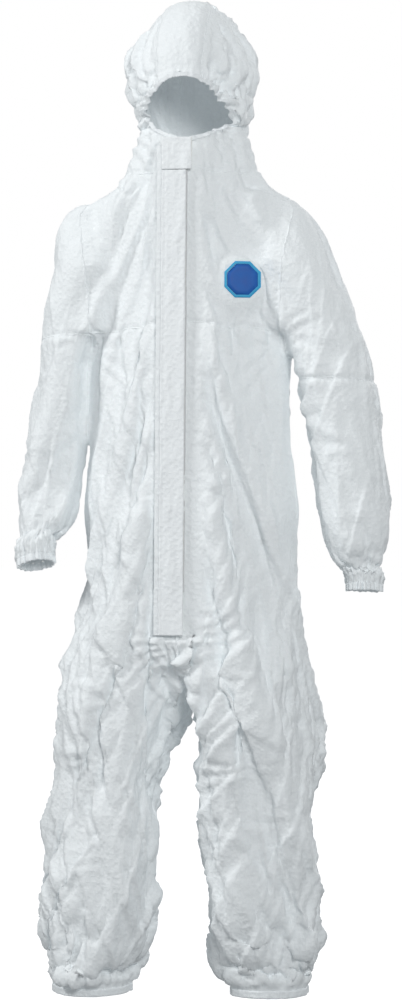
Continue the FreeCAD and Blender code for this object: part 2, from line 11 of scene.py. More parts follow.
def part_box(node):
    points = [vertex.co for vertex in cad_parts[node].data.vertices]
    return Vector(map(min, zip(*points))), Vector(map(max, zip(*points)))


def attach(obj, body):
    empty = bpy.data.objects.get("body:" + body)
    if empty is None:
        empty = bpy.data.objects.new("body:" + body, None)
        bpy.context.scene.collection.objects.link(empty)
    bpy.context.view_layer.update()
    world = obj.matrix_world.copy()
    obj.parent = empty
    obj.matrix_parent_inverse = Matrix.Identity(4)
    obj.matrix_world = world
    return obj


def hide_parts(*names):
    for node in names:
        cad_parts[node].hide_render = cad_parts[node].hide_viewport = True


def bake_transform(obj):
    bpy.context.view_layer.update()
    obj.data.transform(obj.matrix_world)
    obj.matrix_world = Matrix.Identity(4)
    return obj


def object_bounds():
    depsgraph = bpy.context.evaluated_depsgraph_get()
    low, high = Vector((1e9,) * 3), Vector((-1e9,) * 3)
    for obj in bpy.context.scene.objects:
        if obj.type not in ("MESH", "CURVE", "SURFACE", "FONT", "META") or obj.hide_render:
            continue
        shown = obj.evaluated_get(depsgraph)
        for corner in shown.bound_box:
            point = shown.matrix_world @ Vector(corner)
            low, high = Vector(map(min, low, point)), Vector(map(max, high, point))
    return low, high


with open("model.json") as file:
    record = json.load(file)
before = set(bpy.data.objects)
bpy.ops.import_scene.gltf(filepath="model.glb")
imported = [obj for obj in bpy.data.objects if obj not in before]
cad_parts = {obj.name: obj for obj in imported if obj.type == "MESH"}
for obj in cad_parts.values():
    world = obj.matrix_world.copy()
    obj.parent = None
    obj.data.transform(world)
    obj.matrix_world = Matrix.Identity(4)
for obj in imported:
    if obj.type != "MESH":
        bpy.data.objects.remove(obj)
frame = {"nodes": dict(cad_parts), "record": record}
CAD_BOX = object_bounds()
NODES = frame["nodes"]
MOUNTS = {mount["name"]: mount for mount in frame["record"]["mounts"]}
SIDES = {"left": 1, "right": -1}

VIEW_AZIMUTH = math.radians(12.0)
CAMERA_DISTANCE = 5.0
FRAME_HEIGHT = 1.79
AIM_ACROSS = 0.0179
AIM_HEIGHT = 0.877
VOXEL = 0.0078
RING = 72
CLOTH_GROWTH = -0.045
SIM_FRAMES = 22
FOLD_COUNT = 1500
STEEP_SIDE = 0.004
BOX_ROOM = 0.010
FLOOR_SIZE = 60.0
FLOOR_GLOW = 0.90
KEY_POWER = 88
FILL_POWER = 86
TOP_POWER = 16
BACK_POWER = 55


# ---------------------------------------------------------------- camera, light, floor
def make_camera():
    data = bpy.data.cameras.new("camera")
    data.sensor_fit = "AUTO"
    data.sensor_width = 36.0
    data.lens = 36.0 * CAMERA_DISTANCE / FRAME_HEIGHT
    camera = bpy.data.objects.new("camera", data)
    bpy.context.scene.collection.objects.link(camera)
    across = Vector((math.cos(VIEW_AZIMUTH), math.sin(VIEW_AZIMUTH), 0))
    back = Vector((math.sin(VIEW_AZIMUTH), -math.cos(VIEW_AZIMUTH), 0))
    aim = across * AIM_ACROSS + Vector((0, 0, AIM_HEIGHT))
    camera.location = aim + back * CAMERA_DISTANCE
    camera.rotation_euler = (aim - camera.location).to_track_quat("-Z", "Y").to_euler()
    bpy.context.scene.camera = camera


def make_light(name, place, aim, width, height, power):
    data = bpy.data.lights.new(name, "AREA")
    data.shape = "RECTANGLE"
    data.size, data.size_y = width, height
    data.energy = power
    light = bpy.data.objects.new(name, data)
    bpy.context.scene.collection.objects.link(light)
    light.location = place
    light.rotation_euler = (Vector(aim) - Vector(place)).to_track_quat("-Z", "Y").to_euler()


def make_studio():
    world = bpy.data.worlds.new("studio")
    bpy.context.scene.world = world
    world.use_nodes = True
    tree = world.node_tree
    tree.nodes.clear()
    seen = tree.nodes.new("ShaderNodeBackground")
    seen.inputs["Color"].default_value = (1, 1, 1, 1)
    seen.inputs["Strength"].default_value = 1.0
    lit = tree.nodes.new("ShaderNodeBackground")
    lit.inputs["Color"].default_value = (0.93, 0.97, 1.0, 1)
    lit.inputs["Strength"].default_value = 0.26
    path = tree.nodes.new("ShaderNodeLightPath")
    mix = tree.nodes.new("ShaderNodeMixShader")
    out = tree.nodes.new("ShaderNodeOutputWorld")
    tree.links.new(path.outputs["Is Camera Ray"], mix.inputs[0])
    tree.links.new(lit.outputs[0], mix.inputs[1])
    tree.links.new(seen.outputs[0], mix.inputs[2])
    tree.links.new(mix.outputs[0], out.inputs["Surface"])
    make_light("key", (-3.4, -1.6, 3.0), (0, 0, 1.1), 0.9, 0.9, KEY_POWER)
    make_light("fill", (1.9, -3.9, 2.2), (0, 0, 1.3), 1.3, 1.3, FILL_POWER)
    make_light("top", (0.3, 0.8, 4.0), (0, 0, 0.9), 2.5, 2.5, TOP_POWER)
    make_light("back", (2.2, 3.8, 2.6), (0, 0, 1.0), 2.5, 2.5, BACK_POWER)
    mesh = bpy.data.meshes.new("floor")
    half = FLOOR_SIZE / 2
    mesh.from_pydata([(-half, -half, 0), (half, -half, 0), (half, half, 0), (-half, half, 0)], [], [(0, 1, 2, 3)])
    floor = bpy.data.objects.new("floor", mesh)
    bpy.context.scene.collection.objects.link(floor)
    material = new_material("pale_floor", (0.40, 0.41, 0.42), 0.9)
    emission = material.node_tree.nodes["Principled BSDF"].inputs
    emission["Emission Color"].default_value = (1, 1, 1, 1)
    emission["Emission Strength"].default_value = FLOOR_GLOW
    mesh.materials.append(material)
    # The glow whitens the floor to the eye and does not light the suit from below.
    floor.visible_diffuse = False
    floor.visible_glossy = False
    bpy.context.scene.view_settings.view_transform = "Standard"


def new_material(name, colour, roughness):
    material = bpy.data.materials.new(name)
    material.use_nodes = True
    shader = material.node_tree.nodes["Principled BSDF"].inputs
    shader["Base Color"].default_value = (*colour, 1)
    shader["Roughness"].default_value = roughness
    return material


# ---------------------------------------------------------------- number helpers
def coordinates(mesh):
    co = np.empty(len(mesh.vertices) * 3)
    mesh.vertices.foreach_get("co", co)
    return co.reshape(-1, 3)


def set_coordinates(mesh, co):
    mesh.vertices.foreach_set("co", co.ravel())
    mesh.update()


def normals(mesh):
    out = np.empty(len(mesh.vertices) * 3)
    mesh.vertices.foreach_get("normal", out)
    return out.reshape(-1, 3)


def smoothstep(low, high, value):
    t = np.clip((value - low) / (high - low), 0, 1)
    return t * t * (3 - 2 * t)


GRADIENTS = np.random.default_rng(11).normal(size=(256, 3))
GRADIENTS /= np.linalg.norm(GRADIENTS, axis=1)[:, None]
SHUFFLE = np.random.default_rng(12).permutation(256)


def perlin(points, seed=0):
    """Smooth noise of about -1 to 1 with cells one unit wide."""
    cell = np.floor(points).astype(int)
    local = points - cell
    fade = local ** 3 * (local * (local * 6 - 15) + 10)
    total = np.zeros(len(points))
    for corner in range(8):
        step = np.array([corner & 1, corner >> 1 & 1, corner >> 2 & 1])
        index = cell + step
        key = SHUFFLE[(index[:, 0] + seed * 37) & 255]
        key = SHUFFLE[(key + index[:, 1]) & 255]
        key = SHUFFLE[(key + index[:, 2]) & 255]
        dots = ((local - step) * GRADIENTS[key]).sum(1)
        weight = np.where(step == 1, fade, 1 - fade).prod(1)
        total += dots * weight
    return total * 1.6


def facets(points, seed):
    """Folded-paper relief of about -1 to 1: sharp ridges and valleys between flat facets."""
    cell = np.floor(points).astype(int)
    best = [np.full(len(points), 9.0), np.full(len(points), 9.0)]
    for dx in (-1, 0, 1):
        for dy in (-1, 0, 1):
            for dz in (-1, 0, 1):
                index = cell + np.array([dx, dy, dz])
                key = SHUFFLE[(index[:, 0] + seed * 53) & 255]
                key = SHUFFLE[(key + index[:, 1]) & 255]
                key = SHUFFLE[(key + index[:, 2]) & 255]
                for which in (0, 1):
                    jitter = GRADIENTS[(key + 91 * which) & 255] * 0.5 + 0.5
                    away = np.abs(points - index - jitter)
                    reach = away.max(1) * 0.6 + away.sum(1) * 0.35
                    best[which] = np.minimum(best[which], reach)
    return (best[0] - best[1]) * 1.6


def ridge(points, seed):
    """Thin sharp crease lines of height 1 that wander between smooth areas."""
    return np.clip(1 - 3.2 * np.abs(perlin(points, seed)), 0, 1) ** 2


# ---------------------------------------------------------------- forms read from the frame
def wall_points(names, height):
    """Where the walls of some CAD nodes cross a level plane."""
    found = []
    for name in names:
        mesh = NODES[name].data
        co = coordinates(mesh)
        edges = np.empty(len(mesh.edges) * 2, int)
        mesh.edges.foreach_get("vertices", edges)
        low, high = co[edges[0::2]], co[edges[1::2]]
        crossing = (low[:, 2] - height) * (high[:, 2] - height) < 0
        low, high = low[crossing], high[crossing]
        share = (height - low[:, 2]) / (high[:, 2] - low[:, 2])
        found.append((low + (high - low) * share[:, None])[:, :2])
    return np.concatenate(found)


def oval(names, height):
    """Level section of some nodes as [height, centre x, centre y, half width, half depth]."""
    points = wall_points(names, height)
    low, high = points.min(0), points.max(0)
    middle, half = (low + high) / 2, (high - low) / 2
    return [height, middle[0], middle[1], half[0], half[1]]


def torso_sections():
    names = [face + side for face in ("front_yoke_", "back_yoke_", "front_leg_", "back_leg_") for side in SIDES]
    sections = []
    for height in np.linspace(CROTCH_Z + 0.002, NECK_Z - 0.001, 34):
        points = wall_points(names, height)
        y_low, y_high = points[:, 1].min(), points[:, 1].max()
        middle, half = (y_low + y_high) / 2, (y_high - y_low) / 2
        lean = (points[:, 1] - middle) / half
        near = (np.abs(lean) < 0.85) & (np.abs(points[:, 0]) > 0.05)
        wide = np.abs(points[near, 0]) / np.sqrt(1 - lean[near] ** 2)
        sections.append([height, 0.0, middle, float(np.percentile(wide, 70)), half])
    return sections


def leg_sections(side):
    names = ["front_leg_" + side, "back_leg_" + side]
    sections = [oval(names, height) for height in np.linspace(HEM_Z + 0.002, HEM_Z + 0.575, 26)]
    foot, top = list(sections[0]), list(sections[-1])
    foot[0] -= 0.03
    top[0] += 0.06
    return [foot] + sections + [top]


def sleeve_sections(side):
    """Sleeve from beyond the cuff up to a rounded shoulder inside the body."""
    sign = SIDES[side]
    names = ["sleeve_upper_" + side, "sleeve_lower_" + side]
    axis, end = CUFFS[side]
    line_z, line_x = zip(*SHOULDER_LINE[side])
    radius = MOUNTS["cuff_" + side]["dims"]["r_mm"] / 1000 + 0.003
    sections = [[(end + axis * step).z, (end + axis * step).x, (end + axis * step).y, radius, radius]
                for step in (0.03, 0.0)]
    for height in np.concatenate([np.linspace(end.z + 0.014, end.z + 0.12, 9)[:-1],
                                  np.linspace(end.z + 0.12, line_z[0], 30)]):
        z, x, y, half_x, half_y = oval(names, height)
        outer = abs(x) + half_x
        if height > SET_IN_Z:
            inner = outer - 2 * SHOULDER_HALF
        else:
            inner = max(abs(x) - half_x, value_at(TORSO, height, 3) + 0.012)
        sections.append([z, sign * (outer + inner) / 2, y, (outer - inner) / 2, half_y])
    depth = sections[-1][4]
    for height, outer in zip(line_z[1:], line_x[1:]):
        taper = 1 - (height - line_z[0]) / (line_z[-1] - line_z[0])
        half = 0.03 + (SHOULDER_HALF - 0.03) * taper
        sections.append([height, sign * (outer - half), 0.0, half, 0.03 + (depth - 0.03) * taper])
    return sections


def hood_sections():
    names = ["hood_neck_left", "hood_neck_right", "hood_side_left", "hood_side_right", "hood_centre_panel"]
    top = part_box("hood_centre_panel")[1].z
    neck_y, crown_y = TORSO[-1][2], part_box("hood_centre_panel")[1].y - (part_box("hood_side_left")[1].x + 0.016)
    sections = []
    for height in np.concatenate([np.linspace(NECK_Z + 0.001, top - 0.03, 30),
                                  top - np.array([0.02, 0.012, 0.006, 0.002])]):
        z, x, y, half_x, half_y = oval(names, height)
        rear = y + half_y
        y = np.interp(height, [NECK_Z, BROW_Z], [neck_y, crown_y])
        sections.append([z, 0.0, y, half_x, rear - y])
    return [[NECK_Z - 0.04] + sections[0][1:]] + sections


def value_at(rows, height, column):
    return np.interp(height, [row[0] for row in rows], [row[column] for row in rows])


def add_tube(bm, sections):
    """Closed tube through level oval sections, listed in rising order."""
    rings = []
    for z, x, y, half_x, half_y in sections:
        ring = []
        for turn in range(RING):
            angle = 2 * math.pi * turn / RING
            ring.append(bm.verts.new((x + half_x * math.cos(angle), y + half_y * math.sin(angle), z)))
        rings.append(ring)
    for low, high in zip(rings, rings[1:]):
        for turn in range(RING):
            after = (turn + 1) % RING
            bm.faces.new((low[turn], low[after], high[after], high[turn]))
    bm.faces.new(list(reversed(rings[0])))
    bm.faces.new(rings[-1])


def apply_modifiers(piece):
    """Replace a piece's mesh by what its modifiers make of it."""
    graph = bpy.context.evaluated_depsgraph_get()
    mesh = bpy.data.meshes.new_from_object(piece.evaluated_get(graph), depsgraph=graph)
    piece.modifiers.clear()
    piece.data = mesh


def new_piece(name, mesh, material=None):
    piece = bpy.data.objects.new(name, mesh)
    bpy.context.scene.collection.objects.link(piece)
    if material:
        mesh.materials.clear()
        mesh.materials.append(material)
        mesh.shade_smooth()
    return piece


HEM_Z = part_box("front_leg_left")[0].z
CROTCH_Z = HEM_Z + 0.598
CHEST_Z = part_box("front_yoke_left")[0].z
NECK_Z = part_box("hood_neck_left")[0].z
BROW_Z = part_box("hood_neck_left")[1].z
STRIP_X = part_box("hood_centre_panel")[1].x
GAP_X, GAP_Z = 0.008, 0.728
SLEEVE_SEAM_Z = {side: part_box("sleeve_upper_" + side)[0].z for side in SIDES}
CUFFS = {}
for side in SIDES:
    cuff_axis = Vector(MOUNTS["cuff_" + side]["axis"])
    CUFFS[side] = (cuff_axis, Vector(MOUNTS["cuff_" + side]["pos_m"]) - cuff_axis * 0.007)
ANKLES = {side: Vector(MOUNTS["ankle_" + side]["pos_m"]) for side in SIDES}
# Rise and outermost x of each shoulder, up to where it meets the neck.
SHOULDER_LINE = {
    "left": [(1.31, 0.272), (1.36, 0.250), (1.386, 0.237), (1.411, 0.220), (1.432, 0.195)],
    "right": [(1.31, 0.269), (1.36, 0.263), (1.386, 0.254), (1.411, 0.240), (1.432, 0.212)],
}
SHOULDER_HALF = 0.08
SET_IN_Z = 1.19
ARMHOLE_X = 0.187
# The right trouser leg steps forward, so its side seam and inseam swing with it.
STEP_BACK = {"left": 0.0, "right": -0.04}
STEP_LOW, STEP_HIGH = 0.132, CROTCH_Z
TORSO = torso_sections()
LEGS = {side: leg_sections(side) for side in SIDES}
SLEEVES = {side: sleeve_sections(side) for side in SIDES}
HOOD = hood_sections()
EGG_LOW, EGG_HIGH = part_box("face_hem_upper")
EGG_HALF = (EGG_HIGH.x - EGG_LOW.x) / 2
EGG_X = (EGG_HIGH.x + EGG_LOW.x) / 2
EGG_Z = EGG_HIGH.z - EGG_HALF
EGG_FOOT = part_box("face_hem_lower_left")[0].z
BADGE_LOW, BADGE_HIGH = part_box("badge_border")
BADGE_X, BADGE_Z = (BADGE_LOW.x + BADGE_HIGH.x) / 2, (BADGE_LOW.z + BADGE_HIGH.z) / 2


def seam_y(x, z):
    """Depth of the side seams and inseams."""
    back = np.where(x > 0, STEP_BACK["left"], STEP_BACK["right"])
    return back * np.clip((STEP_HIGH - z) / (STEP_HIGH - STEP_LOW), 0, 1)


def armhole(z):
    return np.maximum(ARMHOLE_X, value_at(TORSO, z, 3) + 0.006)


def in_sleeve(co):
    x, z = np.abs(co[:, 0]), co[:, 2]
    return (x > armhole(z)) & (z > CROTCH_Z + 0.05) & (z < NECK_Z)


def face_share(co):
    """Below 1 inside the egg-shaped face opening, as seen from the front."""
    x = (co[:, 0] - EGG_X) / EGG_HALF
    z = co[:, 2] - EGG_Z
    lower = np.abs(np.minimum(z, 0) / (EGG_Z - EGG_FOOT)) ** 1.5 + np.abs(x) ** 1.5
    upper = np.hypot(x, np.maximum(z, 0) / EGG_HALF)
    return np.where(z > 0, upper, lower ** (1 / 1.5))


def body_surface():
    """One closed skin round the torso, limbs and hood."""
    bm = bmesh.new()
    for sections in [TORSO, HOOD] + list(LEGS.values()) + list(SLEEVES.values()):
        add_tube(bm, sections)
    mesh = bpy.data.meshes.new("skin")
    bm.to_mesh(mesh)
    bm.free()
    skin = new_piece("skin", mesh)
    remesh = skin.modifiers.new("remesh", "REMESH")
    remesh.mode = "VOXEL"
    remesh.voxel_size = VOXEL
    smooth = skin.modifiers.new("smooth", "SMOOTH")
    smooth.iterations = 6
    apply_modifiers(skin)
    height = coordinates(skin.data)[:, 2]
    relax(skin.data, smoothstep(0.12, 0.04, np.abs(height - CROTCH_Z - 0.01)), 70)
    return skin


def relax(mesh, share, times):
    """Even out the surface by a share at every vertex, many times over."""
    co = coordinates(mesh)
    ends = np.empty(len(mesh.edges) * 2, int)
    mesh.edges.foreach_get("vertices", ends)
    first, second = ends[0::2], ends[1::2]
    beside = np.bincount(ends, minlength=len(co))
    for _ in range(times):
        total = np.stack([np.bincount(first, co[second, axis], len(co)) + np.bincount(second, co[first, axis], len(co))
                          for axis in range(3)], 1)
        co += 0.5 * share[:, None] * (total / beside[:, None] - co)
    set_coordinates(mesh, co)


def split_along(bm, point, normal, keep, clear=False):
    """Run a line of edges through the faces that a plane crosses, and drop what is beyond if asked."""
    faces = [face for face in bm.faces if keep(face.calc_center_median())]
    edges = list({edge for face in faces for edge in face.edges})
    verts = list({vert for face in faces for vert in face.verts})
    bmesh.ops.bisect_plane(bm, geom=verts + edges + faces, plane_co=point, plane_no=normal, dist=0.0012,
                           clear_outer=clear)


def cut_openings(skin):
    """Open the hems, the face and the zipper gap, and run an edge along every seam."""
    bm = bmesh.new()
    bm.from_mesh(skin.data)
    split_along(bm, (0, 0, HEM_Z), (0, 0, -1), lambda c: c.z < HEM_Z + 0.05, clear=True)
    for side, sign in SIDES.items():
        axis, place = CUFFS[side]
        seam = SLEEVE_SEAM_Z[side]
        split_along(bm, place, axis, lambda c: (c - place).length < 0.075, clear=True)
        split_along(bm, (0, 0, seam), (0, 0, 1), lambda c: c.x * sign > ARMHOLE_X and abs(c.z - seam) < 0.03)
        split_along(bm, (ARMHOLE_X * sign, 0, 0), (1, 0, 0),
                    lambda c: abs(c.x * sign - ARMHOLE_X) < 0.02 and c.z > 1.12)
        split_along(bm, (0, 0, 0), (0, 1, 0), lambda c: c.x * sign > 0 and c.z > STEP_HIGH and abs(c.y) < 0.02)
        back = STEP_BACK[side]
        split_along(bm, (0, back, 0), (0, 1, 0),
                    lambda c: c.x * sign > 0 and c.z < STEP_LOW and abs(c.y - back) < 0.02)
        split_along(bm, (0, 0, STEP_HIGH), (0, STEP_HIGH - STEP_LOW, back),
                    lambda c: c.x * sign > 0 and STEP_LOW < c.z < STEP_HIGH and abs(c.y) < 0.06)
        split_along(bm, (STRIP_X * sign, 0, 0), (1, 0, 0),
                    lambda c: c.z > BROW_Z and abs(c.x * sign - STRIP_X) < 0.02)
        split_along(bm, (GAP_X * sign, 0, 0), (1, 0, 0),
                    lambda c: c.y < 0 and c.z > GAP_Z - 0.02 and abs(c.x * sign - GAP_X) < 0.015)
    split_along(bm, (0, 0, 0), (1, 0, 0), lambda c: abs(c.x) < 0.02 and c.z > 0.5)
    split_along(bm, (0, 0, GAP_Z), (0, 0, 1), lambda c: abs(c.x) < 0.02 and c.y < 0 and abs(c.z - GAP_Z) < 0.02)
    for height in (CHEST_Z, NECK_Z, BROW_Z):
        split_along(bm, (0, 0, height), (0, 0, 1),
                    lambda c: abs(c.z - height) < 0.02 and abs(c.x) < ARMHOLE_X + 0.02)
    gap = [face for face in bm.faces if abs(face.calc_center_median().x) < GAP_X
           and face.calc_center_median().y < 0 and GAP_Z < face.calc_center_median().z < EGG_Z]
    bmesh.ops.delete(bm, geom=gap, context="FACES")
    co = np.array([vert.co for vert in bm.verts])
    hit = (face_share(co) < 1) & (co[:, 1] < 0) & (co[:, 2] > NECK_Z)
    inside = {vert for vert, flag in zip(bm.verts, hit) if flag}
    doomed = [face for face in bm.faces if all(vert in inside for vert in face.verts)]
    bmesh.ops.delete(bm, geom=doomed, context="FACES")
    centre = Vector((EGG_X, 0, EGG_Z))
    for vert in {vert for edge in bm.edges if edge.is_boundary for vert in edge.verts}:
        share = float(face_share(np.array([vert.co]))[0])
        if vert.co.z > NECK_Z + 0.02 and share > 0.6:
            away = vert.co - centre
            away.y = 0
            vert.co += away * (1 / share - 1)
    bmesh.ops.remove_doubles(bm, verts=bm.verts, dist=0.0008)
    bm.normal_update()
    bm.to_mesh(skin.data)
    bm.free()


def freedom(co):
    """How freely the cloth may move: little beside the zipper, round the emblem, under the arms
    and between the legs."""
    x, y, z = co.T
    wide = np.abs(x)
    free = np.ones(len(co))
    free *= 1 - 0.9 * ((y < 0) & (z > 0.64)) * smoothstep(0.075, 0.035, wide)
    from_badge = np.hypot(x - BADGE_X, z - BADGE_Z)
    free *= 1 - 0.8 * (y < 0) * smoothstep(0.065, 0.035, from_badge)
    beside = np.abs(wide - armhole(z))
    free *= 1 - 0.75 * smoothstep(0.035, 0.005, beside) * smoothstep(1.17, 1.12, z) * smoothstep(0.75, 0.9, z)
    free *= 1 - 0.6 * smoothstep(0.03, 0.0, wide) * smoothstep(CROTCH_Z + 0.01, CROTCH_Z - 0.03, z)
    return free


def simulate(skin):
    """Let slightly oversized cloth buckle and sag on its held form."""
    co = coordinates(skin.data)
    x, y, z = co.T
    hold = np.full(len(co), 0.03)
    hold = np.maximum(hold, 1.0 * (z < HEM_Z + 0.01))
    for axis, place in CUFFS.values():
        hold = np.maximum(hold, 1.0 * (np.linalg.norm(co - np.array(place), axis=1) < 0.04))
    hold = np.maximum(hold, 0.7 * ((np.abs(x) < 0.045) & (y < 0) & (z > 0.64) & (z < NECK_Z + 0.05)))
    hold = np.maximum(hold, 0.2 * ((np.abs(z - NECK_Z) < 0.012) & (np.abs(x) < 0.12)))
    hold = np.maximum(hold, 0.9 * ((face_share(co) < 1.08) & (y < 0) & (z > NECK_Z)))
    hold = np.maximum(hold, 0.08 * (z > NECK_Z))
    group = skin.vertex_groups.new(name="hold")
    for level in np.unique(hold):
        group.add(np.nonzero(hold == level)[0].tolist(), float(level), "REPLACE")
    cloth = skin.modifiers.new("cloth", "CLOTH")
    settings = cloth.settings
    settings.quality = 5
    settings.mass = 0.12
    settings.air_damping = 4
    settings.tension_stiffness = 40
    settings.compression_stiffness = 40
    settings.shear_stiffness = 20
    settings.bending_stiffness = 1.5
    settings.tension_damping = 10
    settings.compression_damping = 10
    settings.shear_damping = 10
    settings.bending_damping = 0.5
    settings.shrink_min = CLOTH_GROWTH
    settings.shrink_max = CLOTH_GROWTH
    settings.vertex_group_mass = "hold"
    settings.pin_stiffness = 1.0
    settings.use_pressure = True
    settings.uniform_pressure_force = 0.5
    settings.effector_weights.gravity = 0.6
    cloth.collision_settings.use_collision = False
    cloth.point_cache.frame_start = 1
    cloth.point_cache.frame_end = SIM_FRAMES
    scene = bpy.context.scene
    scene.frame_start, scene.frame_end = 1, SIM_FRAMES
    for step in range(1, SIM_FRAMES + 1):
        scene.frame_set(step)
    apply_modifiers(skin)
    moved = coordinates(skin.data) - co
    length = np.linalg.norm(moved, axis=1)
    limit = 0.024 * freedom(co)
    moved *= (np.minimum(length, limit) / np.maximum(length, 1e-9))[:, None]
    set_coordinates(skin.data, co + moved)


# ---------------------------------------------------------------- folds and creases
def zigzag(turns):
    """Sharp-edged wave of -1 to 1, one fold per unit."""
    return 4 * np.abs(turns - np.floor(turns) - 0.5) - 1


def rays(co, focus, front, folds, reach, height, seed):
    """Folds that fan out from a strained point on the front (-1) or back (1) of the suit."""
    dx, dz = co[:, 0] - focus[0], co[:, 2] - focus[1]
    radius = np.hypot(dx, dz)
    turns = np.arctan2(dz, dx) / (2 * np.pi) * folds + 1.5 * perlin(co * 12, seed)
    patchy = np.clip(0.55 + 1.3 * perlin(co * 8 + 3, seed + 20), 0, 1.2)
    fade = np.exp(-(radius / reach) ** 2) * smoothstep(0.004, 0.06, radius) * patchy
    facing = smoothstep(-0.01, 0.03, front * (co[:, 1] - seam_y(co[:, 0], co[:, 2])))
    return height * zigzag(turns) * fade * facing


def bends(co, level, reach, height, lean, seed):
    """Slanting folds across a sleeve or trouser leg where it bends."""
    side = np.sign(co[:, 0]) == lean
    across = co[:, 2] + lean * 0.35 * co[:, 0] + 0.25 * co[:, 1] + 0.05 * perlin(co * 6, seed)
    patchy = np.clip(0.4 + 1.5 * perlin(co * 10, seed + 20), 0, 1.2)
    fade = np.exp(-((co[:, 2] - level) / reach) ** 2) * patchy * side
    return height * zigzag(across / 0.043 + 1.3 * perlin(co * 13, seed + 30)) * fade


def pleats(angle, away, folds, reach, height, co, seed):
    """Gathers that run out from an elastic hem, for an angle round it and a distance from it."""
    turns = angle / (2 * np.pi) * folds + 0.5 * perlin(co * 20, seed)
    return height * zigzag(turns) * np.exp(-np.maximum(away, 0) / reach)


def folds_of(co):
    """Placed folds, outwards in metres, for points of the unworn form."""
    x, y, z = co.T
    sleeve = in_sleeve(co)
    body = ~sleeve
    rise = np.zeros(len(co))
    for front in (-1, 1):
        rise += body * rays(co, (0.0, CROTCH_Z + 0.02), front, 17, 0.17, 0.0042, 1)
        for side, sign in SIDES.items():
            rise += rays(co, (sign * 0.19, 1.165), front, 11, 0.12, 0.0024, 2)
            rise += body * rays(co, (sign * 0.095, 1.475), front, 13, 0.10, 0.0030, 3)
            rise += body * rays(co, (sign * 0.10, 1.545), front, 14, 0.09, 0.0055, 4)
            rise += sleeve * bends(co, 1.02, 0.11, 0.0015, sign, 5)
            rise += body * bends(co, 0.43, 0.15, 0.0013, sign, 6)
    below = (CHEST_Z - z) * body * (y < 0)
    gather = np.where(below > 0, np.exp(-below / 0.075), 0) * body * (z > 1.0)
    rise += 0.0042 * gather * zigzag(x / 0.031 + 0.7 * perlin(co * 11, 7))
    waist = np.exp(-((z - 0.966) / 0.05) ** 2) * (y > 0) * body
    rise += 0.005 * waist * zigzag(x / 0.026 + 0.6 * perlin(co * 14, 8))
    for side, sign in SIDES.items():
        axis, place = CUFFS[side]
        local = co - np.array(place)
        away = -(local @ np.array(axis))
        near = sleeve * (x * sign > 0)
        rise += near * pleats(np.arctan2(local[:, 1], local[:, 0]), away, 19, 0.045, 0.0055, co, 9)
        foot = co - np.array(ANKLES[side])
        near = (x * sign > 0) * (z < 0.3)
        rise += near * pleats(np.arctan2(foot[:, 1], foot[:, 0]), z - HEM_Z, 26, 0.03, 0.0026, co, 10)
    around = np.arctan2(z - EGG_Z, x - EGG_X)
    away = (face_share(co) - 1) * EGG_HALF
    near = (y < 0.03) * (z > NECK_Z + 0.02)
    rise += near * pleats(around, away, 38, 0.045, 0.0042, co, 11)
    crown = smoothstep(BROW_Z + 0.02, BROW_Z + 0.10, z)
    rise += 0.0045 * crown * zigzag(np.arctan2(y - 0.01, x) / (2 * np.pi) * 21 + 0.8 * perlin(co * 12, 12))
    return rise


def liveliness(co):
    """How crumpled each part of the suit is: calm chest and shoulders, busy trousers and elbows."""
    x, y, z = co.T
    calm = smoothstep(CHEST_Z - 0.03, CHEST_Z + 0.02, z) * smoothstep(NECK_Z + 0.02, NECK_Z - 0.02, z)
    calm *= smoothstep(0.26, 0.20, np.abs(x))
    busy = smoothstep(0.68, 0.58, z) * (np.abs(x) < 0.27)
    return 1 - 0.5 * calm + 0.3 * busy - 0.3 * in_sleeve(co)


def creases_of(co):
    """Crumpled-paper relief over the whole suit, outwards in metres."""
    warp = np.stack([perlin(co * 9 + 7, seed) for seed in (1, 2, 3)], 1)
    bent = co + warp * 0.014
    rise = 0.0068 * facets(bent / np.array([0.075, 0.075, 0.24]), 4)
    rise += 0.0019 * facets((bent + warp * 0.008) / np.array([0.030, 0.030, 0.090]), 5)
    rise += 0.0009 * facets(bent / np.array([0.012, 0.012, 0.02]), 6)
    rise += 0.0020 * ridge(bent / np.array([0.045, 0.045, 0.17]), 31)
    rise -= 0.0019 * ridge(bent / np.array([0.035, 0.035, 0.11]), 32)
    lively = np.clip(0.8 + 0.6 * perlin(co * 5, 13), 0.35, 1.3)
    return 0.85 * rise * lively * liveliness(co)


def sharp_folds(co, out):
    """Straight pressed folds, each steep on one side and easing away on the other."""
    random = np.random.default_rng(7)
    rise = np.zeros(len(co))
    lively = liveliness(co)
    for spot in random.integers(0, len(co), FOLD_COUNT):
        lean, length, width, height = random.uniform([-0.45, 0.05, 0.010, 0.0025], [0.45, 0.17, 0.034, 0.0080])
        if random.random() > 0.6 * lively[spot] ** 2:
            continue
        normal = out[spot]
        if abs(normal[2]) > 0.8:
            continue
        level = np.cross([0.0, 0.0, 1.0], normal)
        level /= max(np.linalg.norm(level), 0.2)
        along = np.array([0.0, 0.0, 1.0]) + lean * level
        along /= np.linalg.norm(along)
        across = np.cross(along, normal)
        local = co - co[spot]
        near = np.nonzero(np.abs(local).max(1) < length + 0.03)[0]
        local = local[near]
        away, run, depth = local @ across, local @ along, local @ normal
        steep = np.where(away > 0, np.exp(-away / width), np.clip(1 + away / STEEP_SIDE, 0, 1))
        taper = np.clip(1 - (run / length) ** 2, 0, 1) * (np.abs(depth) < 0.045)
        rise[near] += height * lively[spot] * steep * taper
    return rise


